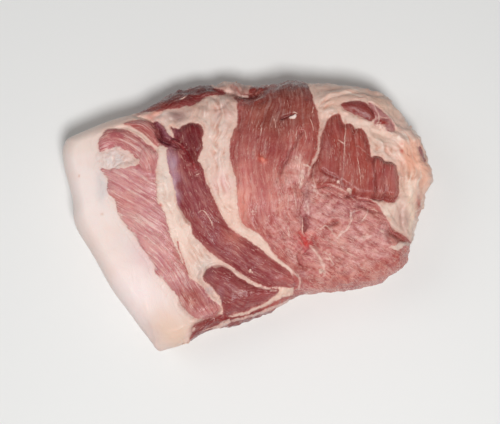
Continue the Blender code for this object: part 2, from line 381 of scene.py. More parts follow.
# %% Outline the dark muscles and the fold between them
MUSCLES += [
    # The floor of the deep fold: dark meat made darker with painted shade, so the shallow fold
    # looks deeper.
    muscle("dark_and_shaded_fold_floor", 0.8, 3, (112, 54, 62), 0.2, 0.0, ("around", [
        (-60, 56), (-50, 44), (-41, 39),
    ]), [
        (-61, 57), (-57.6, 57.6), (-55, 53), (-51.4, 49), (-47.6, 45.4), (-42, 41.4), (-46, 39.2),
        (-53, 40.6), (-56.6, 43), (-57.4, 50),
    ]),
    muscle("purple_strand", 1.4, 2, (139, 86, 98), 0.3, 0.0, ("around", [
        (-58, 57), (-50, 47), (-41, 40),
    ]), [
        (-59.4, 57), (-56.6, 57.4), (-53.6, 53.4), (-50, 48.6), (-46, 45.2), (-41.6, 42.6),
        (-39.6, 38.4), (-43, 40.8), (-47.6, 43.4), (-52, 47), (-55.6, 51.4),
    ]),
    muscle("dark_bed", 2.4, 4, (128, 52, 56), 0.2, 0.0, ("around", [
        (-50, 44), (-40, 37), (-32, 22),
    ]), [
        (-50, 44.6), (-44, 46), (-36, 38), (-31, 31), (-28.6, 27), (-31, 20), (-36, 24), (-40, 33),
        (-44, 38), (-50, 40),
    ]),
    muscle("dark_top", 3.0, 5, (122, 51, 55), 0.25, 0.0, ("around", [
        (-40, 62), (-37, 45), (-31, 24),
    ]), [
        (-49.2, 54), (-46, 53.2), (-43.6, 53), (-41.2, 55), (-35.2, 56.8), (-32.6, 56),
        (-30.6, 56.4), (-28.6, 53.5), (-27.4, 49), (-28.6, 44.5), (-28, 40.2), (-29.8, 35.5),
        (-30.6, 30), (-33, 24), (-35, 27.4), (-37.4, 33), (-40, 38.4), (-43, 43), (-46, 46.4),
        (-47.4, 50),
    ]),
    muscle("dark_curve", 3.4, 8, (146, 72, 76), 0.5, 0.1, ("around", [
        (-45, 45), (-41, 20), (-34, 0), (-21, -18), (0, -34), (20, -45), (36, -52),
    ]), [
        (-49.5, 40.4), (-44, 39.6), (-41, 38.6), (-38, 33.5), (-35, 26.5), (-32.5, 23), (-30.5, 28),
        (-28.5, 26.8), (-26.9, 22.8), (-25.2, 16), (-21.8, 8), (-18.2, -0.3), (-15.4, -6),
        (-9.5, -14.2), (0.3, -20.4), (9.2, -27), (14.1, -31.6), (18.1, -34.8), (24, -38.8),
        (28, -42), (31, -45.6), (32.4, -50), (30.6, -52), (24, -52.6), (15.6, -52), (9.2, -50),
        (2.3, -46.6), (-3.6, -42.9), (-9.6, -38), (-19, -32.6), (-29.8, -23), (-34.2, -17.6),
        (-35.8, -10.8), (-40.2, -5), (-43, -0.4), (-44.8, 6), (-46.8, 15), (-50, 26), (-51.4, 33),
    ]),
    muscle("oval", 3.6, 8, (146, 74, 76), 0.4, 0.1, ("around", [
        (-28, -40), (-14, -50), (4, -56), (22, -58),
    ]), [
        (-27.4, -46.4), (-26.6, -41.8), (-23.6, -39), (-18.6, -37.3), (-13.2, -38.4), (-9.6, -41),
        (-4.8, -44.9), (1.3, -48.8), (8.8, -51.4), (17.6, -52.9), (22, -54), (20, -57), (14, -60.6),
        (7, -64), (-1, -67), (-8, -69.4), (-14, -70.8), (-15.4, -65), (-17, -58.2), (-21.4, -52.8),
        (-25, -49.2),
    ]),
    muscle("lower_edge", 1.6, 4, (134, 56, 57), 0.4, 0.1, ("around", [
        (-38, -86), (-20, -75), (0, -69), (28, -58),
    ]), [
        (-36.4, -89), (-35.6, -82), (-34.4, -77), (-29, -74.2), (-22, -71.2), (-15.8, -69.6),
        (-8, -71), (2, -67.8), (15, -62.6), (24, -58.6), (32, -55.8), (38, -55.6), (36, -62),
        (22, -72), (6, -79), (-8, -83), (-20, -88),
    ]),
]
print(len(MUSCLES), "muscles")

# %% Outline the strips and the muscles that show at the rim
MUSCLES += [
    muscle("strips", 3.2, 6, (162, 83, 75), 0.35, 0.1, ("beside", [
        (62, 90), (67, 60), (70, 30), (68, 0), (64, -20),
    ]), [
        (55, 60), (58.5, 61.4), (61.6, 61.3), (62.8, 57), (64.6, 54.8), (67.3, 55.4), (69.4, 53.8),
        (70.6, 51.8), (73.3, 52.2), (75.7, 50.8), (77.8, 47.8), (79.8, 42.5), (80.5, 37), (81, 33),
        (84, 33.6), (87.5, 32.8), (90.4, 30.2), (94.5, 29.8), (97.2, 27.6), (98.3, 24), (98.9, 18),
        (98.9, 11), (97.5, 5), (93, 2.6), (87, 4.5), (81, 5.5), (74, 6), (66, 9), (60, 12.5),
        (52, 14.5), (44.5, 13), (40.5, 18), (41.2, 24), (45, 31), (47.6, 37), (48, 44), (49.6, 50),
        (51.4, 55),
    ]),
    muscle("rim_muscle", 2.0, 5, (138, 65, 62), 0.3, 0.0, ("around", [
        (60, 69), (74, 68), (86, 59),
    ]), [
        (61.6, 67.4), (65, 69.8), (69.6, 70.7), (75.5, 70.4), (79.8, 68.2), (82.8, 64.6),
        (84, 60.4), (82.8, 57.8), (80, 56.6), (77.2, 58.4), (73, 60.4), (68.5, 61.8), (64.4, 64.2),
    ]),
    muscle("rim_veil", 1.0, 6, (178, 130, 128), 0.3, 0.1, ("around", [
        (80, 70), (90, 62), (98, 52),
    ]), [
        (80, 69.4), (85, 67.4), (89, 63.8), (92.5, 60.6), (95.5, 57.2), (97.6, 52), (94.5, 50.2),
        (89.5, 51), (85, 53.2), (83, 56), (84.4, 60.6),
    ]),
    muscle("rim_nugget", 0.8, 3, (152, 62, 58), 0.3, 0.1, ("around", [(84, 58), (92, 57)]), [
        (84.2, 56), (86.4, 57.9), (89.8, 57.7), (92.4, 55.8), (89.8, 54.4), (86, 54.3),
    ]),
    muscle("top_flap", 1.6, 5, (134, 58, 58), 0.4, 0.1, ("around", [
        (-76, 66), (-60, 70), (-40, 75), (-14, 79),
    ]), [
        (-76, 68), (-70, 66), (-64, 65), (-57, 64.6), (-52, 66), (-47, 66.2), (-43, 66.4),
        (-39, 68.6), (-36, 68.4), (-33, 70.6), (-30, 72.2), (-27, 75.4), (-22, 76.4), (-15, 77),
        (-14, 80.4), (-22, 83.4), (-26, 92), (-45, 94), (-66, 84),
    ]),
    muscle("hollow_lean", 1.6, 4, (136, 64, 56), 0.3, 0.4, ("around", [(3, 80), (13, 82)]), [
        (2, 81), (5, 85), (13, 87), (14.5, 82), (11.5, 76.6), (6.5, 76), (3, 78.4),
    ]),
    muscle("rim_nub", 0.4, 4, (160, 100, 98), 0.2, 0.1, ("around", [(112, 42), (116, 30)]), [
        (113.4, 42), (115.2, 41.6), (117.4, 37.4), (118.2, 32.6), (116.6, 31.4), (114.8, 35),
        (113.4, 39),
    ]),
]
HAZE = {
    "pink_band": 1.0, "lower_lump": 0.9, "upper_lump": 0.6, "marbled_end": 0.25, "centre": 0.24,
    "strips": 0.12, "dark_curve": 0.08, "oval": 0.03, "top_flap": 0.0,
}
print(len(MUSCLES), "muscles")

# %% [markdown]
# ## Seams, clefts and white lines
# Where muscles meet, a cleft sinks in or a pale line of tendon shows. A cleft is a depth, a half
# width, a share of painted shade and a path; the shade that falls into each cleft is painted into
# the colour. A white line is a half width, a share of paleness and a path. The stepped block is a
# stack of short muscle ends that was cut a few millimetres higher.

# %% Lay the clefts
# Each cleft's third number is its share of painted shade: the shade in the cleft, and at block_foot
# and dark_curve_edge the shadow under the stepped block and beside the dark muscle.
CLEFTS = {
    "deep_fold": (2.8, 1.3, 0.0, [
        (-78, 65), (-75, 63.4), (-70, 61.3), (-65, 59.9), (-60.4, 57.2), (-58, 53), (-56, 47),
        (-51, 43), (-45, 40.8),
    ]),
    "fold_foot": (1.8, 0.7, 0.45, [
        (-58, 52.6), (-56, 46.6), (-52, 43.6), (-46, 41.4), (-41, 38.6), (-38, 33.6), (-35.4, 28.6),
    ]),
    "strand_edge": (0.9, 0.6, 0.25, [(-57, 58), (-53, 53), (-48.6, 48), (-43, 43.6)]),
    "back_fat_seam": (1.2, 4.5, 0.0, [
        (-48, 18), (-47, 0), (-43, -20), (-38, -38), (-28, -52), (-16, -64),
    ]),
    "back_fat_crease": (1.0, 0.7, 0.15, [
        (-45, -19), (-43.2, -26.6), (-40.9, -32.2), (-39, -37), (-37, -42),
    ]),
    "band_end": (1.6, 0.9, 0.4, [
        (-43, -62.6), (-38.6, -68), (-34, -72.4), (-28, -73.4), (-20.6, -71.4), (-16.4, -66),
    ]),
    "dark_curve_edge": (1.6, 0.9, 0.5, [(-43.8, 2), (-41.8, -3.4), (-39, -6.8), (-36.2, -10.5)]),
    "oval_seam": (1.2, 1.8, 0.0, [
        (-30, -38), (-16, -35.6), (-8, -39.6), (0, -46), (8, -49.6), (26, -52),
    ]),
    "oval_edge": (2.4, 1.5, 0.1, [
        (-27.6, -40), (-28.2, -46), (-24.6, -50.6), (-19.4, -56.6), (-15.6, -62),
    ]),
    "oval_wrinkle": (0.9, 0.6, 0.25, [
        (-25.6, -39), (-30.4, -43.6), (-30, -48), (-26, -53), (-21, -58.6),
    ]),
    "lump_seam": (1.4, 1.4, 0.0, [(-84, 54), (-76, 53.2), (-70, 50.4), (-64, 45.2), (-58.6, 38.4)]),
    "top_hollow": (6.0, 4.2, 0.0, [(-12, 81), (-6, 77.6), (0, 77), (7, 78)]),
    "hollow_lip": (2.4, 1.0, 0.75, [
        (-9.6, 84.6), (-7.6, 81), (-5, 77.6), (-2, 75.6), (2, 75.4), (6, 75.8),
    ]),
    "lobe_gap": (2.0, 1.2, 0.5, [(-25, 82.6), (-20, 81.2), (-15, 79.2), (-9, 79.6)]),
    "strip_seam": (1.6, 1.4, 0.0, [(63.4, 60), (62.6, 50), (61.8, 41), (61.4, 30), (60.3, 20)]),
    "centre_edge": (1.6, 1.4, 0.0, [(50, 59), (47.6, 52), (46.8, 43), (45, 36), (42, 28)]),
    "strip_cleft": (1.2, 0.9, 0.3, [(70.4, 54), (69.6, 50), (69.8, 45), (71.6, 40)]),
    "strip_groove": (0.9, 0.8, 0.25, [(56.4, 60), (54.8, 52), (54, 42), (52.6, 34)]),
    "lower_edge_seam": (1.0, 1.2, 0.0, [
        (34, -56.6), (26, -59), (14, -63.8), (2, -67.8), (-12, -71),
    ]),
    "strip_mouth": (1.8, 1.2, 0.5, [(-20, -72), (-28, -74.6), (-34.2, -77.4), (-36, -83)]),
    "rim_notch": (6.0, 2.4, 0.35, [(94, -15.4), (101, -19.8), (112, -22)]),
    "slit": (2.6, 0.8, 1.0, [(23, 58), (26, 59.4), (29.4, 60.8)]),
    "centre_crevice": (1.8, 1.1, 0.55, [
        (35.6, 48.6), (33, 44), (31, 40), (28.4, 37), (26.8, 32), (24, 27.4), (23, 22),
    ]),
    "crevice_branch": (0.9, 0.9, 0.3, [(26, 30), (22, 24), (20, 16)]),
    "torn_lens": (1.8, 0.9, 0.75, [(38.4, -6), (38.2, -10.6), (37.6, -15.4)]),
    "torn_eye": (1.2, 1.0, 0.5, [(39.6, 13), (39, 10), (39.2, 6.6)]),
    "block_foot": (2.4, 1.2, 0.7, [(82, 6.4), (85.5, 5), (90, 5.6), (95, 4.2), (97.4, 7)]),
    "block_groove_left": (1.6, 0.6, 0.5, [(81.6, 31), (82, 20), (82.2, 7)]),
    "block_groove_right": (1.4, 0.6, 0.45, [(88.7, 30), (88.9, 18), (89.2, 6)]),
    "torn_crease": (1.2, 0.9, 0.5, [(49.6, 23), (52, 21.4), (56, 19.6), (60.6, 17), (63, 13.6)]),
    "marble_pit": (1.2, 1.3, 0.55, [(52, -12.4), (55, -11.4), (58.6, -10)]),
    "marble_pit_low": (1.0, 1.2, 0.5, [(43, -20), (44, -24), (46, -28)]),
    "fleck_pit": (1.8, 1.4, 0.8, [(64.5, 6.4), (66.5, 8), (69.5, 7.4)]),
    "wedge_edge": (1.2, 1.0, 0.5, [(87.6, -3.2), (82, -2.6), (76, -0.8), (71, 0.8)]),
    "flap_crease": (1.4, 1.2, 0.2, [(-18, 70), (-21, 74), (-28, 76), (-33, 73)]),
    "fat_fold": (1.2, 1.1, 0.2, [(-17, 64), (-19, 60), (-17.6, 55)]),
    "fat_fold_high": (1.0, 1.0, 0.15, [(-12, 71), (-16, 67), (-20, 66)]),
    "fat_fold_low": (0.8, 0.9, 0.1, [(-22, 46), (-19, 38), (-19, 28)]),
    "fat_fold_side": (0.7, 0.8, 0.1, [(-13, 52), (-15, 42), (-14, 33)]),
    "rim_crease_a": (1.2, 1.0, 0.18, [(79, 46.5), (85, 42), (91, 41), (97, 38)]),
    "rim_crease_b": (1.0, 1.0, 0.15, [(82, 50), (89, 47), (96, 45), (101, 40)]),
    "rim_crease_c": (1.0, 1.0, 0.15, [(84, 37.6), (90, 36.6), (97, 32)]),
    "rim_crease_d": (1.2, 1.1, 0.15, [(102, 30), (101, 18), (104, 8)]),
    "rim_crease_e": (1.0, 1.0, 0.12, [(48, 66), (54, 72), (62, 75), (70, 77)]),
    "rim_crease_f": (1.0, 1.0, 0.12, [(50, 78), (56, 80), (64, 83)]),
    "patch_crease": (0.9, 0.9, 0.2, [(98, 4), (100, -4), (101, -12), (103, -18)]),
}
print(len(CLEFTS), "clefts")

# %% Draw the blood lines and the stepped block
BLOOD_LINES = [
    (0.80, 0.62, [(-10.6, 86), (-8.4, 82), (-5.6, 77.4)]),
    (0.50, 0.55, [(-25, 82.4), (-20, 81), (-15.4, 79.6)]),
    (1.00, 0.45, [(0, 76.4), (3, 77.4), (7, 77.2)]),
    (0.35, 0.80, [(-45.4, -21), (-43.6, -27), (-41.4, -33.4), (-39.6, -38.6), (-38, -42)]),
    (0.35, 0.60, [(-42.6, 40), (-38.6, 35), (-36, 30), (-34.4, 26), (-33.4, 23.6)]),
    (0.40, 0.45, [(-60.6, 58), (-57.4, 53.4), (-54.6, 48), (-50, 44), (-43, 40.4)]),
    (0.45, 0.60, [(7.2, 33), (7.4, 30), (9.6, 27.6)]),
    (0.30, 0.40, [(-23, 19.6), (-18, 15.6), (-14, 13), (-10, 12.4)]),
    (0.30, 0.35, [(-17, 22), (-15, 17), (-16.4, 12)]),
    (0.30, 0.35, [(-25, 58), (-24, 54), (-22.6, 52)]),
    (0.90, 0.85, [(36.6, -19.6), (38.4, -21.6), (40.6, -22.6)]),
    (0.60, 0.70, [(38.4, -21.6), (38, -25), (36, -27.6)]),
    (0.60, 0.60, [(40, -21.6), (42.6, -19), (43.4, -16)]),
    (0.40, 0.60, [(50.4, -11), (54, -10), (57.6, -8)]),
    (0.50, 0.50, [(91.6, -12), (95.6, -16), (101, -20)]),
    (0.40, 0.45, [(84, -33), (90, -37), (95, -38.6)]),
    (0.40, 0.40, [(62, -44), (72, -43), (82, -46)]),
    (0.50, 0.55, [(35, -44), (38, -48), (44, -50)]),
]
STEPPED_BLOCK = (4.0, 2.6, [
    (81, 32), (84, 33.4), (88.6, 31.4), (91, 29.8), (95, 29.6), (97.6, 27), (98.8, 20),
    (98.6, 10), (96.4, 5.4), (90, 6.4), (83, 6.8), (81.6, 18),
])

print(len(BLOOD_LINES), "blood lines")

# %% Draw the white lines
WHITE_LINES = [
    (0.7, 0.8, [
        (-84, 53.8), (-78.6, 54), (-74.5, 52.3), (-70.4, 49.8), (-66.8, 46.8), (-63.3, 43.4),
        (-59.5, 39.5),
    ]),
    (0.3, 0.6, [(-31.6, -3.2), (-29.7, -1.8), (-27.8, -2.4), (-25.5, -5), (-23.4, -9), (-22, -13)]),
    (0.35, 0.6, [(63.2, 60), (62.5, 50), (61.8, 41), (61.4, 30), (60.3, 21), (59.4, 16.6)]),
    (0.8, 0.5, [(51, 60), (48.4, 52), (47.6, 42)]),
    (0.5, 0.5, [(47, 43), (46, 37), (44, 31), (42.4, 27)]),
    (0.25, 0.6, [(69.8, 50), (68.8, 46), (69.2, 40), (69.8, 31.8), (70.9, 23), (72, 14)]),
    (0.3, 0.6, [(70.2, 39.4), (73, 36.8), (76.6, 34.3), (80, 32.6)]),
    (0.3, 0.55, [(16.2, 59), (17.6, 54), (18, 49.6)]),
    (0.2, 0.5, [(9.4, 54), (10, 50), (9.6, 46)]),
    (0.3, 0.5, [(31.6, 50), (30.6, 44), (31, 40)]),
    (0.25, 0.5, [(36, 50), (37, 46), (37.4, 42)]),
    (0.3, 0.5, [(39, 59), (41.4, 53), (42.6, 46)]),
    (0.2, 0.45, [(21.4, 39.4), (21.7, 34.6)]),
    (0.5, 0.7, [(33, 33.6), (33.6, 31), (33.2, 28)]),
    (0.5, 0.8, [(35.6, 26.8), (37.8, 26.8), (39.8, 25.4)]),
    (0.9, 0.75, [(34.8, 23), (35, 19), (34.4, 15.6), (33, 12.4)]),
    (0.5, 0.7, [(41.6, 16.4), (43, 13), (44.2, 9.4), (43.6, 7)]),
    (0.6, 0.65, [(37.6, 3.6), (38, 0), (38.6, -4.4)]),
    (0.4, 0.55, [(29, 10.6), (30, 5), (30.6, 0.4), (32, -2)]),
    (0.5, 0.6, [(33.4, -4.6), (34.6, -10), (34.4, -15.4), (36.4, -19)]),
    (0.5, 0.6, [(19.6, -7.6), (24, -9.6), (25.6, -14), (26.2, -20)]),
    (0.35, 0.5, [(46.8, -11), (43.6, -14), (41, -17), (39.4, -20)]),
    (0.8, 0.8, [(39.4, -24.6), (43, -28.4), (46, -32.6), (48.2, -38), (48.4, -42)]),
    (0.4, 0.8, [(49.4, -28.4), (51.6, -31.6), (54.4, -36.6)]),
    (0.35, 0.5, [(35, -25), (31, -29.6), (26.4, -34)]),
    (0.9, 0.5, [(57.4, -20), (58.6, -16.6), (60.4, -13.6)]),
    (0.5, 0.85, [(56.8, -19.4), (59, -17), (63, -14), (65.2, -10), (65.8, -6.6), (65.2, -3)]),
    (0.4, 0.6, [(70.8, -1.4), (67.6, -2.6), (66, -4.4)]),
    (0.4, 0.7, [(76.5, 0), (76, -3), (74.6, -6), (72.4, -9)]),
    (0.5, 0.7, [(46.2, -14), (49.4, -11.4), (52.4, -14), (54.8, -18), (56.8, -20)]),
    (0.4, 0.5, [(48.4, -9), (53.4, -10), (58.2, -9)]),
    (0.8, 0.6, [(68, -18), (72, -21.6), (76, -19), (79, -17.6)]),
    (0.5, 0.5, [(58, -24), (63, -28.4), (69, -32)]),
    (0.35, 0.5, [(72, -24), (78, -30), (83, -36)]),
    (0.35, 0.45, [(75.6, -23), (81, -28.6), (86.4, -34)]),
    (0.35, 0.45, [(66, -24.6), (72, -31.6), (76, -38)]),
    (0.5, 0.5, [(40, -6), (43, -4), (47, -3.4)]),
    (0.4, 0.5, [(52, -24), (55.6, -27), (57, -31)]),
    (0.4, 0.45, [(86, -10), (84.6, -14), (86, -18)]),
    (0.5, 0.5, [(42, -48), (50, -47), (58, -49.6)]),
    (1.0, 0.9, [(-36.8, -87), (-30, -83.4), (-24, -79), (-18, -74.8), (-12, -71.8)]),
    (1.1, 0.95, [(-38.4, -88), (-39.6, -82.6), (-38, -78.6), (-35, -76.8)]),
    (0.5, 0.8, [(47.4, -40.6), (48.4, -42.2), (48, -43.6)]),
    (1.1, 0.4, [(72, -18), (76, -20), (80, -18.6)]),
    (0.4, 0.4, [(84, -17.6), (80, -17), (76, -18)]),
    (0.5, 0.5, [(38, -56.4), (50, -53.6), (64, -52.2), (74, -51.4), (82, -50)]),
    (0.4, 0.7, [(80, 68.6), (83, 64), (84.6, 60), (84, 56)]),
    (0.4, 0.7, [(84.6, 59.6), (88, 58.8), (92, 58.6)]),
    (0.4, 0.6, [(84.6, 59.6), (81.6, 57.4), (79.4, 55.6)]),
    (0.3, 0.6, [(62, 69), (66, 71.4), (74, 71.8), (81, 69.6)]),
    (0.6, 0.6, [(82, 54), (88, 52.4), (94, 49.6)]),
    (0.3, 0.4, [(-48.6, 38.4), (-50.6, 32), (-51, 27.4), (-48.8, 20.3)]),
    (1.0, 0.7, [(-22, -37), (-16, -36.6), (-10, -39.6), (-5, -43.8)]),
    (0.6, 0.7, [(-6, -43), (0, -46.6), (6, -49.6), (12, -51.6), (18, -52.4)]),
    (0.7, 0.75, [(33, -51), (33.6, -47), (31.6, -43.4), (27, -39.4), (23, -36.4)]),
    (0.7, 0.8, [
        (39, -53.6), (31, -56.8), (22, -60.6), (14, -63.8), (6, -66.8), (-2, -69.4), (-10, -71.4),
    ]),
    (0.5, 0.55, [(-36, -74), (-30, -72.4), (-24, -70.6), (-18.6, -67.6)]),
    (0.9, 0.7, [(-15, -76), (-10, -76.6), (-5, -75)]),
    (0.5, 0.7, [
        (-29.4, -38.6), (-29.6, -43.4), (-28.4, -47.4), (-25.2, -51.2), (-21.8, -55),
        (-18.6, -59.4),
    ]),
    (0.2, 0.5, [(52.6, 58), (55.4, 52), (56.4, 49)]),
    (0.3, 0.7, [(57.6, 43.2), (59.6, 42), (61.4, 40.6)]),
    (0.2, 0.4, [(53, 31), (54.6, 35), (54.8, 40)]),
    (0.4, 0.7, [(-43.6, -63), (-40.4, -67), (-37, -70.4), (-33, -72)]),
    (0.5, 0.7, [(-23, -76.6), (-17, -73), (-12, -70.6)]),
    # A painted highlight: the white glint on the top flap.
    (0.6, 0.7, [(-44.6, 73), (-42.6, 73.4), (-40.6, 75)]),
    (0.3, 0.5, [(-38, 74), (-35.6, 73), (-33, 71)]),
    (0.5, 0.6, [(5, 70.6), (7.6, 72), (9.8, 74.6)]),
    (0.9, 0.9, [(-15, 79.4), (-9.4, 79), (-5.6, 76)]),
    (1.0, 0.95, [(-5.4, 74), (-3, 75.6), (-0.6, 75.6)]),
]
print(len(WHITE_LINES), "white lines")

# %% [markdown]
# ## Bumps and patches of colour
# Some forms are too small for an outline: folded lobes of fat, a torn scrap, a fleck. Each is an
# oval bump with a height. In the same way oval patches tint what lies below: a veil of lavender
# membrane, partly its own colour and partly a painted sheen, darker brown towards the top edge, red
# where a vessel was cut. A few patches are painted shade where the shoulders turn away from the
# light, and a few are painted highlights on wet lobes. Bumps and patches are both measured on
# frayed plan points, so that no oval stays a clean oval.

# %% List the bumps and the blotch
BUMPS = [
    (-17, 83.6, 7.0, 3.2, 12, 3.0), (-3, 83.4, 4.8, 4.0, -20, 3.2), (9, 82.6, 4.6, 3.4, -20, 2.0),
    (-12, 64, 4.5, 7.0, 20, 1.8), (-20, 70, 6.0, 3.4, 10, 1.8), (-28, 65, 5.0, 3.6, -20, 1.4),
    (-50, 61, 6.0, 3.0, 10, 1.6), (-58.6, 64.5, 4.6, 2.2, 35, 1.8), (-2.6, 72.6, 2.2, 0.9, 25, 1.3),
    (7.4, 71.6, 4.4, 2.2, 28, 1.8), (16, 68.4, 1.6, 1.0, 0, 0.9), (10.4, 30.6, 3.4, 1.8, -42, 2.4),
    (30.4, 59.8, 2.8, 1.0, 8, 1.0), (-16.2, -62.4, 2.2, 2.8, 20, 2.4), (2.9, -41, 1.3, 1.3, 0, 1.3),
    (66, 10.4, 1.5, 1.3, 30, 1.2), (48.4, -42, 1.0, 1.5, 0, 1.0), (96.5, -24.6, 5.5, 2.0, -8, 1.6),
    (88.4, -18, 2.6, 5.2, 0, 0.8), (84, 44, 7.0, 2.2, -18, 1.2), (92, 40.5, 7.0, 2.4, -14, 1.2),
    (100, 46, 6.0, 3.0, -40, 1.2), (90, 52, 6, 2.4, -35, 1.2), (103, 4, 4.0, 6.5, 15, 1.4),
    (111, 19, 3.4, 6.0, 10, 1.2), (104, 22, 3.2, 6.0, 12, 1.2), (56, 76, 7.0, 2.2, 28, 1.4),
    (54, 70, 4.6, 1.8, 40, 1.0), (66, 79, 6.0, 2.2, 6, 1.0), (-88, 36, 3.5, 2.5, 30, 0.5),
    (-80, 31, 3.0, 3.0, 0, 0.5), (-83.5, 39.5, 2.5, 2.0, 60, 0.4), (-91, 31, 3.0, 2.2, -30, 0.5),
    (-74.5, 29.5, 2.6, 2.0, 40, 0.4),
]
BLOTCH = [
    (-96.2, 36.4), (-92, 38.6), (-88, 39.4), (-85.6, 40.8), (-80.9, 40), (-76.8, 37.4),
    (-71.5, 34.5), (-69.2, 30.9), (-70.4, 27.6), (-75, 26.6), (-79.8, 25.6), (-86.8, 25.4),
    (-92.7, 27.4), (-96.8, 31.4),
]
print(len(BUMPS), "bumps")

# %% List the patches of colour on the lean
LEAN_PATCHES = [
    (-9, -20, 8, 3.4, -38, (172, 86, 76), 0.6), (14, -37, 10, 4.6, -38, (166, 82, 78), 0.6),
    (27, -47, 5, 5, 0, (182, 104, 100), 0.6), (-28, -14, 6, 5, -50, (146, 76, 78), 0.5),
    (7, 63, 6, 8, 10, (176, 100, 82), 0.6), (30, 64, 8, 5, -10, (178, 100, 82), 0.6),
    (12, 68, 5, 7, 20, (150, 78, 62), 0.6), (20, 46, 5, 8, 0, (152, 80, 74), 0.6),
    (40, 66, 4, 9, 0, (172, 96, 86), 0.6), (-2, 38, 7, 12, 0, (166, 86, 84), 0.8),
    (28, 20, 7, 6, 20, (212, 148, 138), 0.6), (14, 22, 6, 8, 0, (184, 108, 100), 0.5),
    (28, -8, 6, 8, 0, (190, 116, 108), 0.6), (46, -16, 6, 4, 20, (172, 92, 86), 0.6),
    (62, -24, 7, 4, -30, (214, 156, 146), 0.6), (72, -36, 8, 4, -30, (206, 142, 134), 0.6),
    (56, -40, 7, 5, -20, (178, 106, 98), 0.6), (84, -40, 7, 5, -30, (180, 104, 96), 0.6),
    (84, -6, 6, 4, -30, (176, 104, 98), 0.5), (70, -8, 6, 4, 20, (190, 122, 114), 0.6),
    (52, -4, 6, 4, 0, (204, 146, 140), 0.6), (66, -50, 10, 3, 4, (168, 92, 84), 0.6),
    (28, 78, 20, 14, 0, (120, 62, 56), 0.95), (20, 60, 26, 13, 0, (132, 68, 60), 0.85),
    (2, 56, 8, 16, 0, (158, 84, 78), 0.5), (14, 36, 10, 12, 0, (158, 84, 80), 0.5),
    (33, 42, 9, 20, 0, (182, 108, 98), 0.6), (12, 4, 20, 15, 0, (208, 138, 130), 0.75),
    (-2.4, 4, 5, 24, -6, (228, 158, 146), 0.95), (24, -18, 14, 14, 0, (205, 136, 130), 0.7),
    (34, 24, 6, 9, 0, (222, 175, 165), 0.75), (39.5, 6, 3.4, 15, 4, (188, 148, 145), 0.7),
    (38, -10, 2.4, 9, 0, (176, 118, 122), 0.6), (39, -21.5, 4.6, 3.6, 20, (226, 52, 46), 1.0),
    (34, -23, 8, 5, 20, (196, 92, 88), 0.6), (44, -20, 7, 4, 0, (186, 96, 90), 0.5),
    (48, 44, 8, 16, 0, (160, 82, 75), 0.4), (60, 26, 14, 10, 0, (168, 98, 93), 0.4),
    (90, 18, 9, 14, 0, (172, 98, 90), 0.5), (96.5, 18, 2.4, 14, 0, (190, 122, 118), 0.5),
    (72, 38, 5, 14, 0, (166, 78, 68), 0.4), (76, 2, 8, 3.6, -12, (168, 96, 94), 0.75),
    (60, -2, 16, 8, 0, (174, 106, 106), 0.7), (88, -18, 5, 9, 0, (206, 158, 158), 0.75),
    (78, -24, 14, 10, 0, (204, 148, 143), 0.5), (100, -19.6, 6, 3, -25, (146, 68, 64), 0.9),
    (98, -32, 8, 7, 20, (172, 88, 82), 0.75), (100, -40, 10, 6, 30, (176, 98, 92), 0.5),
    (66, -42, 24, 7, 5, (186, 114, 106), 0.5), (52, -50, 20, 3.4, 3, (190, 116, 106), 0.6),
    (36, -46, 5, 5, 0, (172, 108, 112), 0.5), (88, -30, 8, 3.4, 20, (180, 116, 114), 0.4),
    (10.4, 30.6, 3.4, 1.8, -42, (226, 120, 100), 1.0),
    (-35.6, -59.6, 12, 8, -38, (162, 86, 80), 1.0), (-22, -66, 7, 5, -35, (192, 120, 114), 0.6),
    (-45, -34, 5, 14, 24, (196, 122, 118), 0.55), (-78, 4, 8, 5, -20, (206, 138, 128), 0.5),
    (-62.6, 35, 5, 8, 0, (222, 166, 164), 0.9), (-92, 43, 5, 3, 0, (206, 142, 150), 0.6),
    # The pale lavender patches at (-48.4, 30), (-46, 15) and (-44.4, 2) are the membrane on the
    # dark muscle's edge, partly its own colour and partly a painted sheen.
    (-84, 51, 8, 2.4, 0, (166, 92, 96), 0.6), (-48.4, 30, 3.2, 9, 3, (180, 150, 168), 1.0),
    (-46.0, 15, 3.2, 11, 5, (198, 172, 188), 1.0), (-44.4, 2, 1.8, 7, 6, (170, 128, 142), 0.8),
    (-30, 12, 8, 12, 0, (150, 84, 90), 0.4), (-35, 26, 4, 6, -20, (166, 92, 90), 0.5),
    (-20, -8, 8, 7, -40, (158, 84, 84), 0.3), (4, -34, 14, 8, -30, (146, 72, 74), 0.5),
    (24, -46, 9, 5, -25, (172, 100, 100), 0.5), (-24, -42, 4, 6, 0, (150, 96, 104), 0.5),
    (-17, -57, 3.4, 7, -35, (166, 120, 132), 0.6), (12, -56, 8, 4, 0, (166, 84, 82), 0.4),
    (-45, 50, 3, 4, 0, (140, 84, 94), 0.5), (22, -61, 10, 4, 25, (190, 120, 112), 0.7),
    # Painted shade: the dark patches at (-46, 77) and (-24, 83) darken the top flap's steep outer
    # side.
    (50, -57, 18, 4, 4, (200, 146, 132), 0.5), (-46, 77, 22, 6, 16, (98, 28, 30), 1.0),
    (-24, 83, 12, 5, 10, (92, 26, 28), 1.0), (-58, 68.6, 5, 2, 25, (150, 84, 78), 0.6),
    (-36, 69.6, 5, 2, 15, (150, 88, 84), 0.7),
    (36, 84, 14, 8, 0, (112, 56, 50), 0.9), (22, 56, 16, 7, 10, (128, 64, 54), 0.6),
]
print(len(LEAN_PATCHES), "patches on lean")

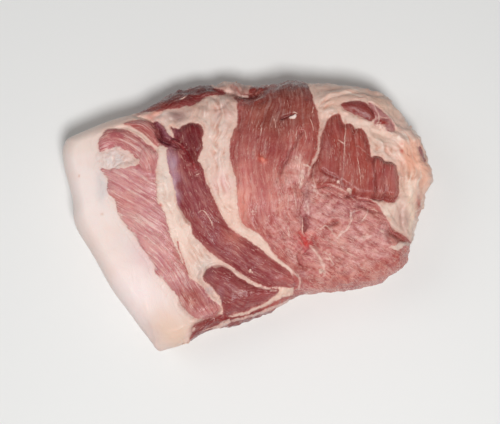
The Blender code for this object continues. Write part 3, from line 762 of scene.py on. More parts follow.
# %% List the films, the calm places and the patches on the fat
FILMS = [
    (99.4, -24.6, 9.0, 2.0, 8, 1.0), (66, 10.2, 1.8, 1.5, 30, 1.0), (30.6, 60, 3.2, 1.2, 8, 1.0),
    (88.5, 52, 7, 3, -20, 0.7), (-17, -61.6, 2.2, 1.6, 20, 1.0),
    (48.2, -42.4, 1.2, 1.8, 0, 0.9), (82.5, -2.2, 1.8, 0.8, -30, 0.9), (2.9, -41, 1.3, 1.3, 0, 1.0),
    (58.8, 16.4, 1.6, 1.2, 20, 0.9), (35, 18, 2.6, 7, -6, 0.7), (38, 0, 2.0, 6, -4, 0.5),
    (43.6, 11, 1.8, 6, 14, 0.6), (59, -17, 5, 3, 40, 0.45), (76, -19.5, 6, 3, -10, 0.5),
    (-63, -30, 7, 11, 30, 0.35), (-48, -46, 5, 9, 40, 0.35), (-79, 12, 6, 7, 30, 0.25),
    (-30, -62, 6, 4, -30, 0.25), (33, 30, 2, 4, 10, 0.6), (6, -6, 5, 4, 0, 0.3),
    (22, 2, 6, 6, 0, 0.3), (51, -31, 7, 6, -30, 0.35), (88, -17, 4, 7, 0, 0.4),
    (44, -46, 12, 4, 8, 0.35), (9.5, 24, 2, 8, 20, 0.2),
    (-90, 8, 3.0, 9, 25, 0.5), (-82, -5, 3.4, 9, 32, 0.5), (-73, -19, 3.2, 9, 36, 0.5),
    (-63, -35, 3.2, 9, 36, 0.55), (-54, -48, 3.0, 8, 38, 0.55), (-44, -62, 2.6, 6, 30, 0.5),
]
CALM_FAT = [(102, -7, 8, 12, 10), (-46, 62, 9, 4, 5), (-60, 62, 6, 3, 20)]
FAT_PATCHES = [
    # The beige patch at (-110, 48) is painted shade where the back fat's top corner turns down.
    (-104, 10, 22, 60, 20, (243, 227, 222), 0.95), (-110, 48, 14, 10, 20, (234, 214, 202), 0.6),
    (-70, -60, 22, 28, 30, (243, 226, 223), 0.95), (-58, -82, 12, 10, 0, (228, 204, 198), 0.7),
    # The patch at (-44, -84) is painted shade on the bottom corner's wall.
    (-44, -84, 10, 9, 0, (226, 198, 180), 0.8), (-94, 14, 3.6, 12, 4, (216, 205, 203), 0.8),
    (-76, -24, 7, 13, 32, (230, 216, 212), 0.5), (-83, 33, 12, 9, -8, (224, 210, 207), 0.9),
    (-53, 20, 5, 26, 0, (230, 210, 198), 0.8), (-44, -18, 7, 22, 20, (243, 216, 202), 0.7),
    (-27, -40, 5, 7, 0, (214, 202, 194), 0.7), (-23.6, -53, 2.2, 9, -38, (198, 184, 188), 0.6),
    (-18, 36, 9, 22, 0, (236, 204, 192), 0.8), (-15, 16, 6, 7, 0, (236, 190, 188), 0.7),
    (-8, -4, 8, 14, 20, (240, 200, 184), 0.7), (14, -24, 16, 7, -35, (236, 202, 186), 0.6),
    (24, -55, 9, 4, 10, (232, 202, 186), 0.8), (-16, 58, 9, 8, 0, (222, 188, 176), 0.7),
    (-45, 61.6, 9, 4, 5, (158, 124, 118), 1.0), (-30, 66, 10, 5, 0, (186, 148, 134), 0.7),
    (-56, 62, 5, 3, 20, (224, 186, 178), 0.7), (-14, 66, 7, 6, 0, (186, 146, 138), 0.7),
    (-17, 83.4, 8, 4.4, 10, (176, 140, 130), 0.95), (-2, 83, 6.4, 5, -10, (168, 130, 120), 0.95),
    # The dark red patch at (-4, 76) is partly the groove's own red and partly painted shade in the
    # top hollow; the patch at (58, 80) is painted shade on the top shoulder.
    (-4, 76, 8, 4, 0, (118, 52, 50), 0.9), (58, 80, 14, 5, 5, (206, 164, 144), 0.6),
    (56, 70, 9, 6, 20, (214, 172, 152), 0.6), (86, 46, 10, 9, -20, (228, 196, 178), 0.8),
    (109, 30, 10, 20, 8, (242, 180, 154), 0.9), (115, 26, 5, 16, 8, (246, 192, 168), 0.8),
    (104, 12, 7, 10, 0, (222, 190, 170), 0.6),
    (102, -7, 6.5, 10, 10, (196, 160, 148), 0.9), (107.6, -6, 2.0, 11, 8, (240, 212, 192), 0.9),
    (99.4, -24.6, 9, 3, 8, (230, 206, 194), 0.9),
    (94, -3, 3.4, 6.0, -25, (230, 210, 196), 0.9), (107.4, 7, 3.0, 8, 20, (236, 200, 176), 0.8),
    (30.6, 60, 3.4, 1.6, 8, (240, 226, 220), 1.0), (-17, -61.6, 2.6, 2, 20, (240, 216, 202), 1.0),
    # The patch at (-50, -78) is painted shade on the bottom corner's wall.
    (28, -56, 12, 3, 18, (234, 200, 182), 0.8), (-50, -78, 9, 14, 40, (224, 192, 172), 0.7),
    (91, 0, 3.4, 4, 0, (226, 206, 190), 0.7), (90, 70, 12, 8, -35, (220, 182, 160), 0.6),
    # The patch at (70, 76) is painted shade on the top shoulder.
    (70, 76, 12, 4, 0, (196, 158, 142), 0.6), (48.5, 52, 3, 12, 8, (208, 164, 150), 0.6),
    (115, 36, 1.6, 5, 20, (190, 140, 130), 0.7), (112.6, 2, 2.4, 5.6, -8, (184, 98, 86), 0.95),
    (101, 37, 1.2, 1.2, 0, (216, 104, 88), 0.9), (100.8, 42, 0.9, 0.9, 0, (220, 130, 112), 0.8),
    # Painted highlights: the orange-pink patch at (-59, 64) and the white one at (-53.5, 62.6).
    (-59, 64, 5, 2.6, 20, (232, 160, 138), 0.85), (-53.5, 62.6, 2.6, 1.4, 10, (244, 222, 212), 0.9),
    (-57, 58.6, 4, 2, 20, (226, 200, 190), 0.8), (-70, 64.6, 3.4, 2.0, 20, (178, 128, 122), 0.9),
    (-63, 61, 4, 1.8, -25, (214, 150, 138), 0.7), (38, 10, 14, 16, 0, (206, 162, 156), 0.7),
    (58, -18, 10, 8, 0, (226, 182, 166), 0.8), (76, -20, 9, 6, 0, (224, 182, 170), 0.8),
    (-64, -30, 10, 12, 30, (222, 186, 188), 0.6), (-109.4, 21.6, 0.7, 0.7, 0, (214, 168, 150), 0.8),
    (-93.6, -4, 0.9, 0.9, 0, (222, 190, 172), 0.8),
    (-55.4, 1.2, 1.0, 0.9, 40, (206, 20, 22), 1.0),
]
print(len(FILMS), "films and", len(FAT_PATCHES), "patches on fat")


# %% Measure how far out in an oval a point is
def oval(x, y, place_x, place_y, long_half, short_half, angle):
    """How far out in an oval each point is: 0 at its centre, 1 at its edge."""
    cosine = math.cos(math.radians(angle))
    sine = math.sin(math.radians(angle))
    across = ((x - place_x) * cosine + (y - place_y) * sine) / long_half
    up = ((y - place_y) * cosine - (x - place_x) * sine) / short_half
    return np.hypot(across, up)


print("edge of an oval:", round(float(oval(3.0, 0.0, 0, 0, 3.0, 1.0, 0)), 2))

# %% [markdown]
# ## Spreading a grid over the slab
# A square grid is drawn out to a disk and then to the slab's plan, so its lines stay even and no
# pole appears. The inner part lies on the crown. The rest bends over the shoulder and down the
# side. Each direction shares its rows out by length, so that crown and shoulder both get a vertex
# for every 0.8 mm or so. The knife left rags all round the rim. They change on the way down the
# side too, or the fat would hang in folds like a curtain.

# %% Spread the grid in plan
GRID_ALONG = 342
GRID_ACROSS = 252
WALL_ROWS = 34.0
WALL_LENGTH = 45.0
RIM_RAGS = ((1.5, 13.0), (1.3, 5.0), (0.9, 2.6))
REACH_BLUR = 0.35


def outline_radius(direction):
    """Plan radius of the slab in each direction."""
    loop = closed_curve(OUTLINE)[:-1]
    angles = np.arctan2(loop[:, 1], loop[:, 0])
    radii = np.hypot(loop[:, 0], loop[:, 1])
    order = np.argsort(angles)
    return np.interp(direction, angles[order], radii[order], period=2 * math.pi)


def shoulder_width(direction):
    """Width of the rounded shoulder in each direction."""
    angles = [math.radians(angle) for angle, width in SHOULDER_WIDTHS]
    widths = [width for angle, width in SHOULDER_WIDTHS]
    return np.interp(direction % (2 * math.pi), angles, widths, period=2 * math.pi)


turns = np.linspace(-math.pi, math.pi, 721)[:-1]
crown_reach = outline_radius(turns) - shoulder_width(turns)
blur = np.exp(-0.5 * (turns / REACH_BLUR) ** 2)
blur = np.fft.fft(np.fft.ifftshift(blur / blur.sum()))
soft_reach = np.real(np.fft.ifft(np.fft.fft(crown_reach) * blur))
print("crown reaches", round(float(crown_reach.min())), "to", round(float(crown_reach.max())), "mm")


def spread(s, t):
    """Plan place, way down the wall and outward direction for points of the square."""
    disk_x = s * np.sqrt(1 - t * t / 2)
    disk_y = t * np.sqrt(1 - s * s / 2)
    reach = np.hypot(disk_x, disk_y)
    turn = np.arctan2(disk_y, disk_x)
    east = LENGTH / 2 * np.cos(turn)
    north = WIDTH / 2 * np.sin(turn)
    direction = np.arctan2(north, east)
    rim_x = np.cos(direction)
    rim_y = np.sin(direction)
    radius = outline_radius(direction)
    trimmed = np.clip((radius * rim_x - SMOOTH_SIDE_X) / SMOOTH_SIDE_FADE, 0, 1)
    shoulder = shoulder_width(direction)
    middle = np.interp(direction, turns, soft_reach, period=2 * math.pi)

    crown_share = middle / (middle + WALL_ROWS)
    down = np.clip((reach - crown_share) / (1 - crown_share), 0, 1)
    for height, wave_length in RIM_RAGS:
        rags = ripple(radius * rim_x, radius * rim_y, WALL_LENGTH * down, wave_length)
        radius += height * trimmed * rags
    on_crown = np.clip(reach / crown_share, 0, 1)
    plan = on_crown * (middle + (radius - shoulder - middle) * on_crown ** 2)
    upper = np.clip(down / UPPER_WALL_SHARE, 0, 1)
    upper = upper * (0.7 + 0.3 * upper) * math.pi / 2
    lower = np.clip((down - UPPER_WALL_SHARE) / (1 - UPPER_WALL_SHARE), 0, 1) * math.pi / 2
    plan += shoulder * np.sin(upper) - FOOT_INSET * (1 - np.cos(lower))
    return plan * rim_x, plan * rim_y, upper, lower, rim_x, rim_y, trimmed


skin = bmesh.new()
bmesh.ops.create_grid(skin, x_segments=GRID_ALONG, y_segments=GRID_ACROSS, size=1.0)
square = np.array([vertex.co[:2] for vertex in skin.verts])
x, y, upper, lower, rim_x, rim_y, trimmed = spread(square[:, 0], square[:, 1])
print(len(x), "points spread")

# %% [markdown]
# ## Depth inside each muscle
# Every outline is measured once, on frayed plan points. The depth inside the muscles tells lean
# from fat everywhere. A crinkled blotch of thin fat lies over two of them as a film. The fat has a
# grain too: it wrinkles along the seams that it fills, and around the round end. Noise that follows
# the grain would tear where two grains meet, so these joins are found and marked.

# %% Measure the muscles
COARSE_FRAY = (0.8, 7.0, 0.0)
FINE_FRAY = (0.45, 2.3, 8.0)
BLOTCH_FRAY = (1.6, 4.5, 15.0)
torn_x, torn_y = frayed(*frayed(x, y, *COARSE_FRAY), *FINE_FRAY)
depths = [depth_inside(entry["outline"], torn_x, torn_y) for entry in MUSCLES]
blotch = depth_inside(BLOTCH, *frayed(torn_x, torn_y, *BLOTCH_FRAY))
lean = np.max(depths, axis=0)
print("share of lean points", round(float((lean > 0).mean()), 2))

# %% Follow the grain of the fat
SEAM_PATH = [(-56, 80), (-54, 40), (-53, 12), (-50, 0), (-44, -20), (-35, -40), (-14, -80)]
BAND_PATH = [(-16, 90), (-17, 50), (-17, 25), (-12, 0), (0, -16), (18, -28), (44, -60)]
BACK_PATH = [(-118, 60), (-112, 20), (-96, -20), (-70, -60), (-50, -90)]
BACK_FAT_EDGE = [(-76, 80), (-80, 30), (-70, 0), (-52, -30), (-40, -60), (-24, -90)]
DARK_CURVE = [(-42, 80), (-42, 20), (-32, 0), (-18, -22), (6, -40), (40, -60)]
ROUND_END_X = 42.0
ROUND_END_CENTRE = (62, 20)


def side_of(path, x, y):
    """Millimetres to the right of a path that runs from the top to the bottom."""
    points = open_curve(path)[::-1]
    return x - np.interp(y, points[:, 1], points[:, 0])


def fat_grain(x, y):
    """Grain of the fat: along the back fat, the two seams, or around the round end."""
    choices = [
        (side_of(BACK_FAT_EDGE, x, y) < 0, grain_beside(BACK_PATH, x, y)),
        (side_of(DARK_CURVE, x, y) < 0, grain_beside(SEAM_PATH, x, y)),
        (x < ROUND_END_X, grain_beside(BAND_PATH, x, y)),
    ]
    sideways, along = grain_about(ROUND_END_CENTRE, x, y)
    for chosen, (across, run) in reversed(choices):
        sideways = np.where(chosen, across, sideways)
        along = np.where(chosen, run, along)
    return sideways, along


LAYER_GAP = 7.0
FAT_SWAY = (5.0, 17.0, 41.0)
FAT_WAVER = (2.2, 7.0, 43.0)
swayed = frayed(*frayed(x, y, *FAT_SWAY), *FAT_WAVER)
grain = np.stack([*fat_grain(*swayed), 0 * x - LAYER_GAP], axis=1)
fibre_run = np.tile([0.0, 1.0, 0.0], (len(x), 1))
print("grain of the fat runs over", round(float(np.ptp(grain[:, 1]))), "mm")

# %% Follow the grain of each muscle
GRAIN_SWAY = {
    "marbled_end": (7, 34, 1.2), "centre": (4, 26, 1.3), "top_flap": (4, 14, 1.0),
    "oval": (4, 20, 0.6),
}
PLAIN_SWAY = (1.5, 16, 0.5)
WAVER_LENGTH = 8.0
STEP = 0.4
GRAIN_MARGIN = 2.6
held = np.full(x.shape, -99.0)
for index, (entry, depth) in enumerate(zip(MUSCLES, depths)):
    kind, guide = entry["grain"]
    sway, wave_length, waver = GRAIN_SWAY.get(entry["name"], PLAIN_SWAY)
    bent = frayed(x, y, sway, wave_length, 45.0)
    bent_x, bent_y = frayed(*bent, waver, WAVER_LENGTH, 47.0)
    sideways, along = GRAINS[kind](guide, bent_x, bent_y)
    nearer = (depth > 0) | ((depth > -GRAIN_MARGIN) & (lean < 0) & (depth > held))
    held[nearer] = depth[nearer]
    grain[nearer] = np.stack([sideways, along, 0 * x + LAYER_GAP * index], axis=1)[nearer]
    east = GRAINS[kind](guide, bent_x + STEP, bent_y)[0] - sideways
    north = GRAINS[kind](guide, bent_x, bent_y + STEP)[0] - sideways
    fibre_run[nearer] = np.stack([-north, east, 0 * east], axis=1)[nearer]

print("grain runs over", round(float(np.ptp(grain[:, 1]))), "mm")

# %% Find the joins of the grain
JOIN_JUMP = 2.6
JOIN_RINGS = 2
JOIN_FADE = 0.6
pairs = np.array([[corner.index for corner in edge.verts] for edge in skin.edges])
jump = np.abs(grain[pairs[:, 0]] - grain[pairs[:, 1]]).max(axis=1) > JOIN_JUMP
join = np.zeros(x.shape)
join[pairs[jump].ravel()] = 1.0
for ring in range(JOIN_RINGS):
    near = np.maximum(join[pairs[:, 0]], join[pairs[:, 1]]) * JOIN_FADE
    for column in (0, 1):
        np.maximum.at(join, pairs[:, column], near)
settled = 1 - smooth_step(0.3, 0.95, join)
print("joins at", round(float((join == 1).mean()), 3), "of the points")

# %% [markdown]
# ## Heights
# The heights are added up in the order of their size: the soft hill of the whole slab, a pillow for
# each muscle, the clefts, the bumps, and last the fine relief. Fat creases sharply between round
# folds, so its noise is folded at zero. Lean shows long shallow furrows along its bundles, and the
# torn middle breaks them up. At a join of two grains these furrows fade out. How hollow each spot
# is gets kept, because the colours later paint the hollows darker and redder as painted shade, and
# the ridges lighter as painted highlight.

# %% Add up the heights
TORN_CENTRE = [
    (24, 30), (34, 34), (46, 26), (64, 18), (84, 2), (94, -14), (108, -26), (98, -44), (70, -58),
    (36, -56), (24, -36), (6, -18), (8, -8), (18, 4),
]
weights = np.zeros(x.shape)
heights = np.zeros(x.shape)
for place_x, place_y, height in CROWN_HEIGHTS:
    weight = np.exp(-((x - place_x) ** 2 + (y - place_y) ** 2) / (2 * CROWN_BLEND ** 2))
    weights += weight
    heights += weight * height
crown = heights / weights
for entry, depth in zip(MUSCLES, depths):
    share = np.clip(depth / entry["softness"], 0, 1)
    crown += entry["rise"] * (1 - (1 - share) ** 2)
rise, softness, outline = STEPPED_BLOCK
crown += rise * smooth_step(-0.3, softness, depth_inside(outline, torn_x, torn_y))

# How much painted shade each cleft lays on the colour.
crease_shade = np.zeros(x.shape)
for depth, half_width, shade_share, path in CLEFTS.values():
    away = distance_to(open_curve(path), torn_x, torn_y)
    sunk = np.exp(-(away / half_width) ** 2)
    crown -= depth * sunk
    crease_shade = np.maximum(crease_shade, shade_share * sunk)
for place_x, place_y, long_half, short_half, angle, height in BUMPS:
    out = oval(torn_x, torn_y, place_x, place_y, long_half, short_half, angle)
    crown += height * (1 - smooth_step(0.1, 1.25, out))

# %% Find where the fat wrinkles
sideways, along, layer = grain.T


def with_grain(width, stretch, seed):
    """Noise some millimetres wide and a few times longer along the grain."""
    return ripple(sideways, along / stretch, layer, width, seed)


FAT_EDGE = 0.6
BACK_FAT_CALM = 0.93
CALM_SHARE = 0.8
is_fat = smooth_step(FAT_EDGE, -FAT_EDGE, lean)
torn = smooth_step(-4, 8, depth_inside(TORN_CENTRE, x, y))
back_fat = smooth_step(-2, 8, -side_of(BACK_FAT_EDGE, x, y))
wrinkled = is_fat * (1 - BACK_FAT_CALM * back_fat) * (1 + 0.4 * smooth_step(ROUND_END_X, 70, x))
wrinkled *= 0.45 + 0.75 * smooth_step(-0.25, 0.35, ripple(x, y, 0 * x, 11.0, 81.0))
for calm in CALM_FAT:
    wrinkled *= 1 - CALM_SHARE * (1 - smooth_step(0.6, 1.2, oval(x, y, *calm)))
on_blotch = smooth_step(-1.4, 1.8, blotch)
print("share of wrinkled fat", round(float((wrinkled > 0.3).mean()), 2))

# %% Add the folds, pleats, crinkles, bundles and shreds
FOLD_MEAN = 0.40
PLEAT_MEAN = 0.34
FOLD_HEIGHT = 0.95
PLEAT_HEIGHT = 0.65
CRINKLE_HEIGHT = 0.75
BUNDLE_HEIGHT = 0.32
SHRED_HEIGHT = 0.40
TANGLE_HEIGHT = 0.70
SWELL_HEIGHT = 0.25
folds = np.abs(with_grain(5.4, 3.2, 2.0)) * 1.6
pleats = np.abs(with_grain(2.0, 4.4, 4.0)) * 1.5
crinkles = np.abs(ripple(x, y, 0 * x, 2.4, 11.0)) * 1.6
folds = FOLD_MEAN + (folds - FOLD_MEAN) * settled
pleats = PLEAT_MEAN + (pleats - PLEAT_MEAN) * settled
bundles = with_grain(3.2, 6.0, 6.0) * settled
shreds = with_grain(3.6, 2.0, 7.0) * settled
tangle = ripple(*frayed(x, y, 3.0, 9.0, 61.0), 0 * x, 5.0, 63.0)
fine = wrinkled * (FOLD_HEIGHT * folds + PLEAT_HEIGHT * pleats)
fine += on_blotch * CRINKLE_HEIGHT * crinkles
tears = torn * (SHRED_HEIGHT * shreds + TANGLE_HEIGHT * tangle)
fine += (1 - is_fat) * (BUNDLE_HEIGHT * bundles + tears)
fine += SWELL_HEIGHT * ripple(x, y, 0 * x, 9.0, 13.0) * (1 - 0.7 * back_fat)
crown += fine
print("fine relief from", round(float(fine.min()), 2), "to", round(float(fine.max()), 2), "mm")

# %% Keep how hollow each spot is
CRINKLE_MEAN = 0.35
HOLLOW_GAIN = 1.4
CRINKLE_GAIN = 1.5
WALL_CALM = 0.8
hollow = wrinkled * ((FOLD_MEAN - folds) * HOLLOW_GAIN + (PLEAT_MEAN - pleats) * HOLLOW_GAIN)
hollow += on_blotch * (CRINKLE_MEAN - crinkles) * CRINKLE_GAIN
hollow += (1 - is_fat) * (torn * (-shreds * 0.7 - tangle * 1.2) - bundles * 0.35)
hollow = np.clip(hollow, -1, 1) * (1 - WALL_CALM * np.sin(upper))
print("share in a hollow", round(float((hollow > 0.3).mean()), 2))

# %% Raise the skin and bend it down the sides
SIDE_WAVES = ((1.6, 30.0, 0.0), (1.0, 9.0, 5.0), (0.6, 4.0, 9.0))
z = WIDEST_HEIGHT + (crown - WIDEST_HEIGHT) * np.cos(upper) ** 0.8
z = np.where(lower > 0, WIDEST_HEIGHT * (1 - np.sin(lower)), z)
for height, wave_length, seed in SIDE_WAVES:
    share = trimmed if seed else 1
    bulge = height * share * np.sin(upper) * np.cos(lower) * ripple(x, y, z, wave_length, seed)
    x = x + bulge * rim_x
    y = y + bulge * rim_y
x = (x - (x.max() + x.min()) / 2) * LENGTH / np.ptp(x)
y = (y - (y.max() + y.min()) / 2) * WIDTH / np.ptp(y)
z *= HEIGHT / z.max()
for vertex, place in zip(skin.verts, zip(x, y, z)):
    vertex.co = place
print("skin is", round(float(np.ptp(x))), "by", round(float(np.ptp(y))), "by", round(z.max()), "mm")

# %% Close the underside
UNDERSIDE_RINGS = 6
rim = [edge for edge in skin.edges if edge.is_boundary]
for ring in range(UNDERSIDE_RINGS):
    shrink = 1 - 1 / (UNDERSIDE_RINGS + 1 - ring)
    grown = bmesh.ops.extrude_edge_only(skin, edges=rim)["geom"]
    rim = [part for part in grown if isinstance(part, bmesh.types.BMEdge)]
    for vertex in {corner for edge in rim for corner in edge.verts}:
        vertex.co = (vertex.co.x * shrink, vertex.co.y * shrink, 0.0)
bmesh.ops.edgeloop_fill(skin, edges=rim)
bmesh.ops.recalc_face_normals(skin, faces=skin.faces[:])
skin_mesh = bpy.data.meshes.new("meat")
skin.to_mesh(skin_mesh)
skin.free()
print("skin with", len(skin_mesh.vertices), "vertices and", len(skin_mesh.polygons), "faces")

# %% [markdown]
# ## What each spot of the surface is made of
# The material needs to know at each spot how deep inside a muscle it lies, which way the grain
# runs, and the muscle's and the fat's tint there, with painted shade in the hollows and on shaded
# shoulders and a few painted highlights mixed in. Python works these out once from the outlines,
# and stores them on the mesh as attributes. The shader adds all that is finer. Below the widest
# height the slab is wrapped in its cap of plain fat, so the lean ends there.

# %% Mix the tints
CAP_HEIGHT = 9.0
LEAN_BLEND = 1.6
BAND_FOOT = (-34, -60, 14, 9, -38)
PLAIN_LEAN = seen(196, 128, 120)
PLAIN_FAT = seen(226, 196, 182)
tint = np.tile(PLAIN_LEAN, (len(x), 1))
streak = np.full(x.shape, 0.3)
marble = np.zeros(x.shape)
haze = np.zeros(x.shape)
for entry, depth in zip(MUSCLES, depths):
    weight = smooth_step(-LEAN_BLEND, LEAN_BLEND, depth)
    haze += (HAZE.get(entry["name"], 0.0) - haze) * weight
    tint += (entry["colour"] - tint) * weight[:, None]
    streak += (entry["streak"] - streak) * weight
    marble += (entry["marble"] - marble) * weight
marble = np.maximum(marble, torn)
streak *= 1 - 0.5 * smooth_step(22, 50, y) * smooth_step(-12, -4, x) * smooth_step(50, 44, x)
haze *= 1 - 0.75 * np.exp(-oval(x, y, *BAND_FOOT) ** 2)
print("share under haze", round(float((haze > 0.3).mean()), 2))

# %% Lay the patches over them
SMALL_PATCH = 12
LOOSE_FRAY = (3.0, 9.0, 21.0)
fat_tint = np.tile(PLAIN_FAT, (len(x), 1))
loose_x, loose_y = frayed(torn_x, torn_y, *LOOSE_FRAY)
for patches, colours in ((LEAN_PATCHES, tint), (FAT_PATCHES, fat_tint)):
    for *place, colour, strength in patches:
        small = place[2] * place[3] < SMALL_PATCH
        spots = (torn_x, torn_y) if small else (loose_x, loose_y)
        weight = strength * np.exp(-0.9 * oval(*spots, *place) ** 2.4)
        colours += (seen(*colour) - colours) * weight[:, None]
print(len(LEAN_PATCHES), "patches on lean and", len(FAT_PATCHES), "on fat")

# %% Warm the lean unevenly, paint shade into the hollows and light onto the ridges
FAT_PAINTED_SHADE = np.array([0.80, 0.59, 0.52])
LEAN_PAINTED_SHADE = np.array([0.64, 0.42, 0.42])
LEAN_FILTER = (1.0, 0.88, 0.88)
WARM_SHARES = (0.5, 1.2, 0.8)
WARM_WAVES = ((0.24, 15.0, 83.0), (0.20, 6.0, 85.0))
PAINTED_RIDGE_HIGHLIGHT = 0.10
warmth = sum(share * ripple(x, y, 0 * x, size, seed) for share, size, seed in WARM_WAVES)
tint *= LEAN_FILTER
tint *= 1 + warmth[:, None] * WARM_SHARES
# Painted shade darkens the hollows of the folds and furrows, and a painted highlight lightens the
# ridges.
for colours, painted_shade, share in ((fat_tint, FAT_PAINTED_SHADE, is_fat), (tint, LEAN_PAINTED_SHADE, 1 - is_fat)):
    colours *= 1 + (painted_shade - 1) * (np.clip(hollow, 0, 1) * share)[:, None]
    colours += (1 - colours) * (PAINTED_RIDGE_HIGHLIGHT * np.clip(-hollow, 0, 1) * share)[:, None]
print("lean from", tint.min(axis=0).round(2), "to", tint.max(axis=0).round(2))

# %% Spread the films of thin fat
film = on_blotch
for *place, strength in FILMS:
    film = np.maximum(film, strength * (1 - smooth_step(0.3, 1.3, oval(loose_x, loose_y, *place))))
print("share under a film", round(float((film > 0.3).mean()), 3))

# %% Say where flecks of marbling and rags of fat sit
FLECKS_ABOVE = 30.0
RAG_HEIGHTS = (10.0, 34.0)
# Flecks are marbling threads and also painted glints along the fibres.
fleck = smooth_step(0.5, 2.0, lean) * (0.1 + 0.5 * marble + 0.6 * haze) * (z > FLECKS_ABOVE)
fleck *= 0.25 + 1.5 * smooth_step(-0.15, 0.45, ripple(x, y, 0 * x, 14.0, 71.0))
fleck *= (film < 0.2) * settled * (0.35 + 0.65 * smooth_step(60, 40, y))
rag = (trimmed > 0.95) * (z > RAG_HEIGHTS[0]) * (z < RAG_HEIGHTS[1])
rag = rag * is_fat * smooth_step(0, 0.5, ripple(x, y, 0 * z, 9.0, 73.0))
print("flecks over", round(float(fleck.mean()), 2), "and rags over", round(float(rag.mean()), 2))

# %% Measure the lines and end the lean at the cap of fat
LINE_BLUR = 0.35
LINE_FRAY = (0.7, 4.0, 51.0)
CAP_TOP = 28.0
line_x, line_y = frayed(x, y, *LINE_FRAY)


def lines_share(lines):
    """How strongly each point lies on one of the lines."""
    share = np.zeros(x.shape)
    for half_width, strength, path in lines:
        away = distance_to(open_curve(path), line_x, line_y)
        share = np.maximum(share, strength * np.clip(1.5 - away / (half_width + LINE_BLUR), 0, 1))
    return share


white = np.where(z < CAP_HEIGHT, 0.0, lines_share(WHITE_LINES))
blood = lines_share(BLOOD_LINES)
cap_edge = z - CAP_HEIGHT - 4 * ripple(x, y, 0 * z, 16.0, 3.0) - 2 * ripple(x, y, z, 5.0, 4.0)
lean = np.where(z < CAP_TOP, np.minimum(lean, cap_edge * 0.6), lean)
print("white lines over", round(float((white > 0.3).mean()), 3), "of the points")

# %% Store it all on the mesh
UNDERSIDE = {"lean": -9.0, "fat_tint": np.append(seen(228, 204, 192), 1)}
FIELDS = {"FLOAT": "value", "FLOAT_VECTOR": "vector", "FLOAT_COLOR": "color"}


def store(name, values, kind="FLOAT"):
    """Keep one value for each vertex on the skin; the underside repeats plain fat."""
    spare = len(skin_mesh.vertices) - len(values)
    plain = np.repeat(values[:1] * 0 + UNDERSIDE.get(name, 0), spare, axis=0)
    layer = skin_mesh.attributes.new(name, kind, "POINT")
    everywhere = np.concatenate([values, plain]).astype(np.float32)
    layer.data.foreach_set(FIELDS[kind], everywhere.ravel())


NUMBERS = {
    "lean": lean, "streak": streak, "marble": marble, "white": white, "crease_shade": crease_shade,
    "blood": blood, "join": join, "haze": haze, "film": film, "fleck": fleck, "rag": rag,
    "ruffle": np.maximum(wrinkled, on_blotch),
}
for name, values in NUMBERS.items():
    store(name, values)
store("fibre_run", fibre_run, "FLOAT_VECTOR")
store("grain", grain, "FLOAT_VECTOR")
opaque = np.ones((len(x), 1))
store("tint", np.hstack([tint, opaque]), "FLOAT_COLOR")
store("fat_tint", np.hstack([fat_tint, opaque]), "FLOAT_COLOR")
print("attributes", [layer.name for layer in skin_mesh.attributes if not layer.is_internal])

# %% [markdown]
# ## Shader sums as Python
# A mask such as "lean, but not on a white line" is plain arithmetic. One small class wraps a socket
# so that + - and * between sockets add the Math nodes, and one method adds every other node from
# its type, its settings and its sockets. The material then reads like its description.

# %% Wrap sockets for arithmetic
class Wire:
    """An output socket that can stand in a sum."""

    def __init__(self, tree, socket):
        self.tree = tree
        self.socket = socket

    def math(self, operation, other, swapped=False):
        node = self.tree.nodes.new("ShaderNodeMath")
        node.operation = operation
        pair = (other, self) if swapped else (self, other)
        for index, value in enumerate(pair):
            plug(self.tree, node.inputs[index], value)
        return Wire(self.tree, node.outputs[0])

    def __add__(self, other):
        return self.math("ADD", other)

    __radd__ = __add__

    def __sub__(self, other):
        return self.math("SUBTRACT", other)

    def __rsub__(self, other):
        return self.math("SUBTRACT", other, swapped=True)

    def __mul__(self, other):
        return self.math("MULTIPLY", other)

    __rmul__ = __mul__


def plug(tree, socket, value):
    """Link a wire to a socket, or set the socket's value."""
    if isinstance(value, Wire):
        tree.links.new(value.socket, socket)
    elif isinstance(value, (tuple, list)) and len(value) == 3 and socket.type == "RGBA":
        socket.default_value = (*value, 1.0)
    else:
        socket.default_value = value


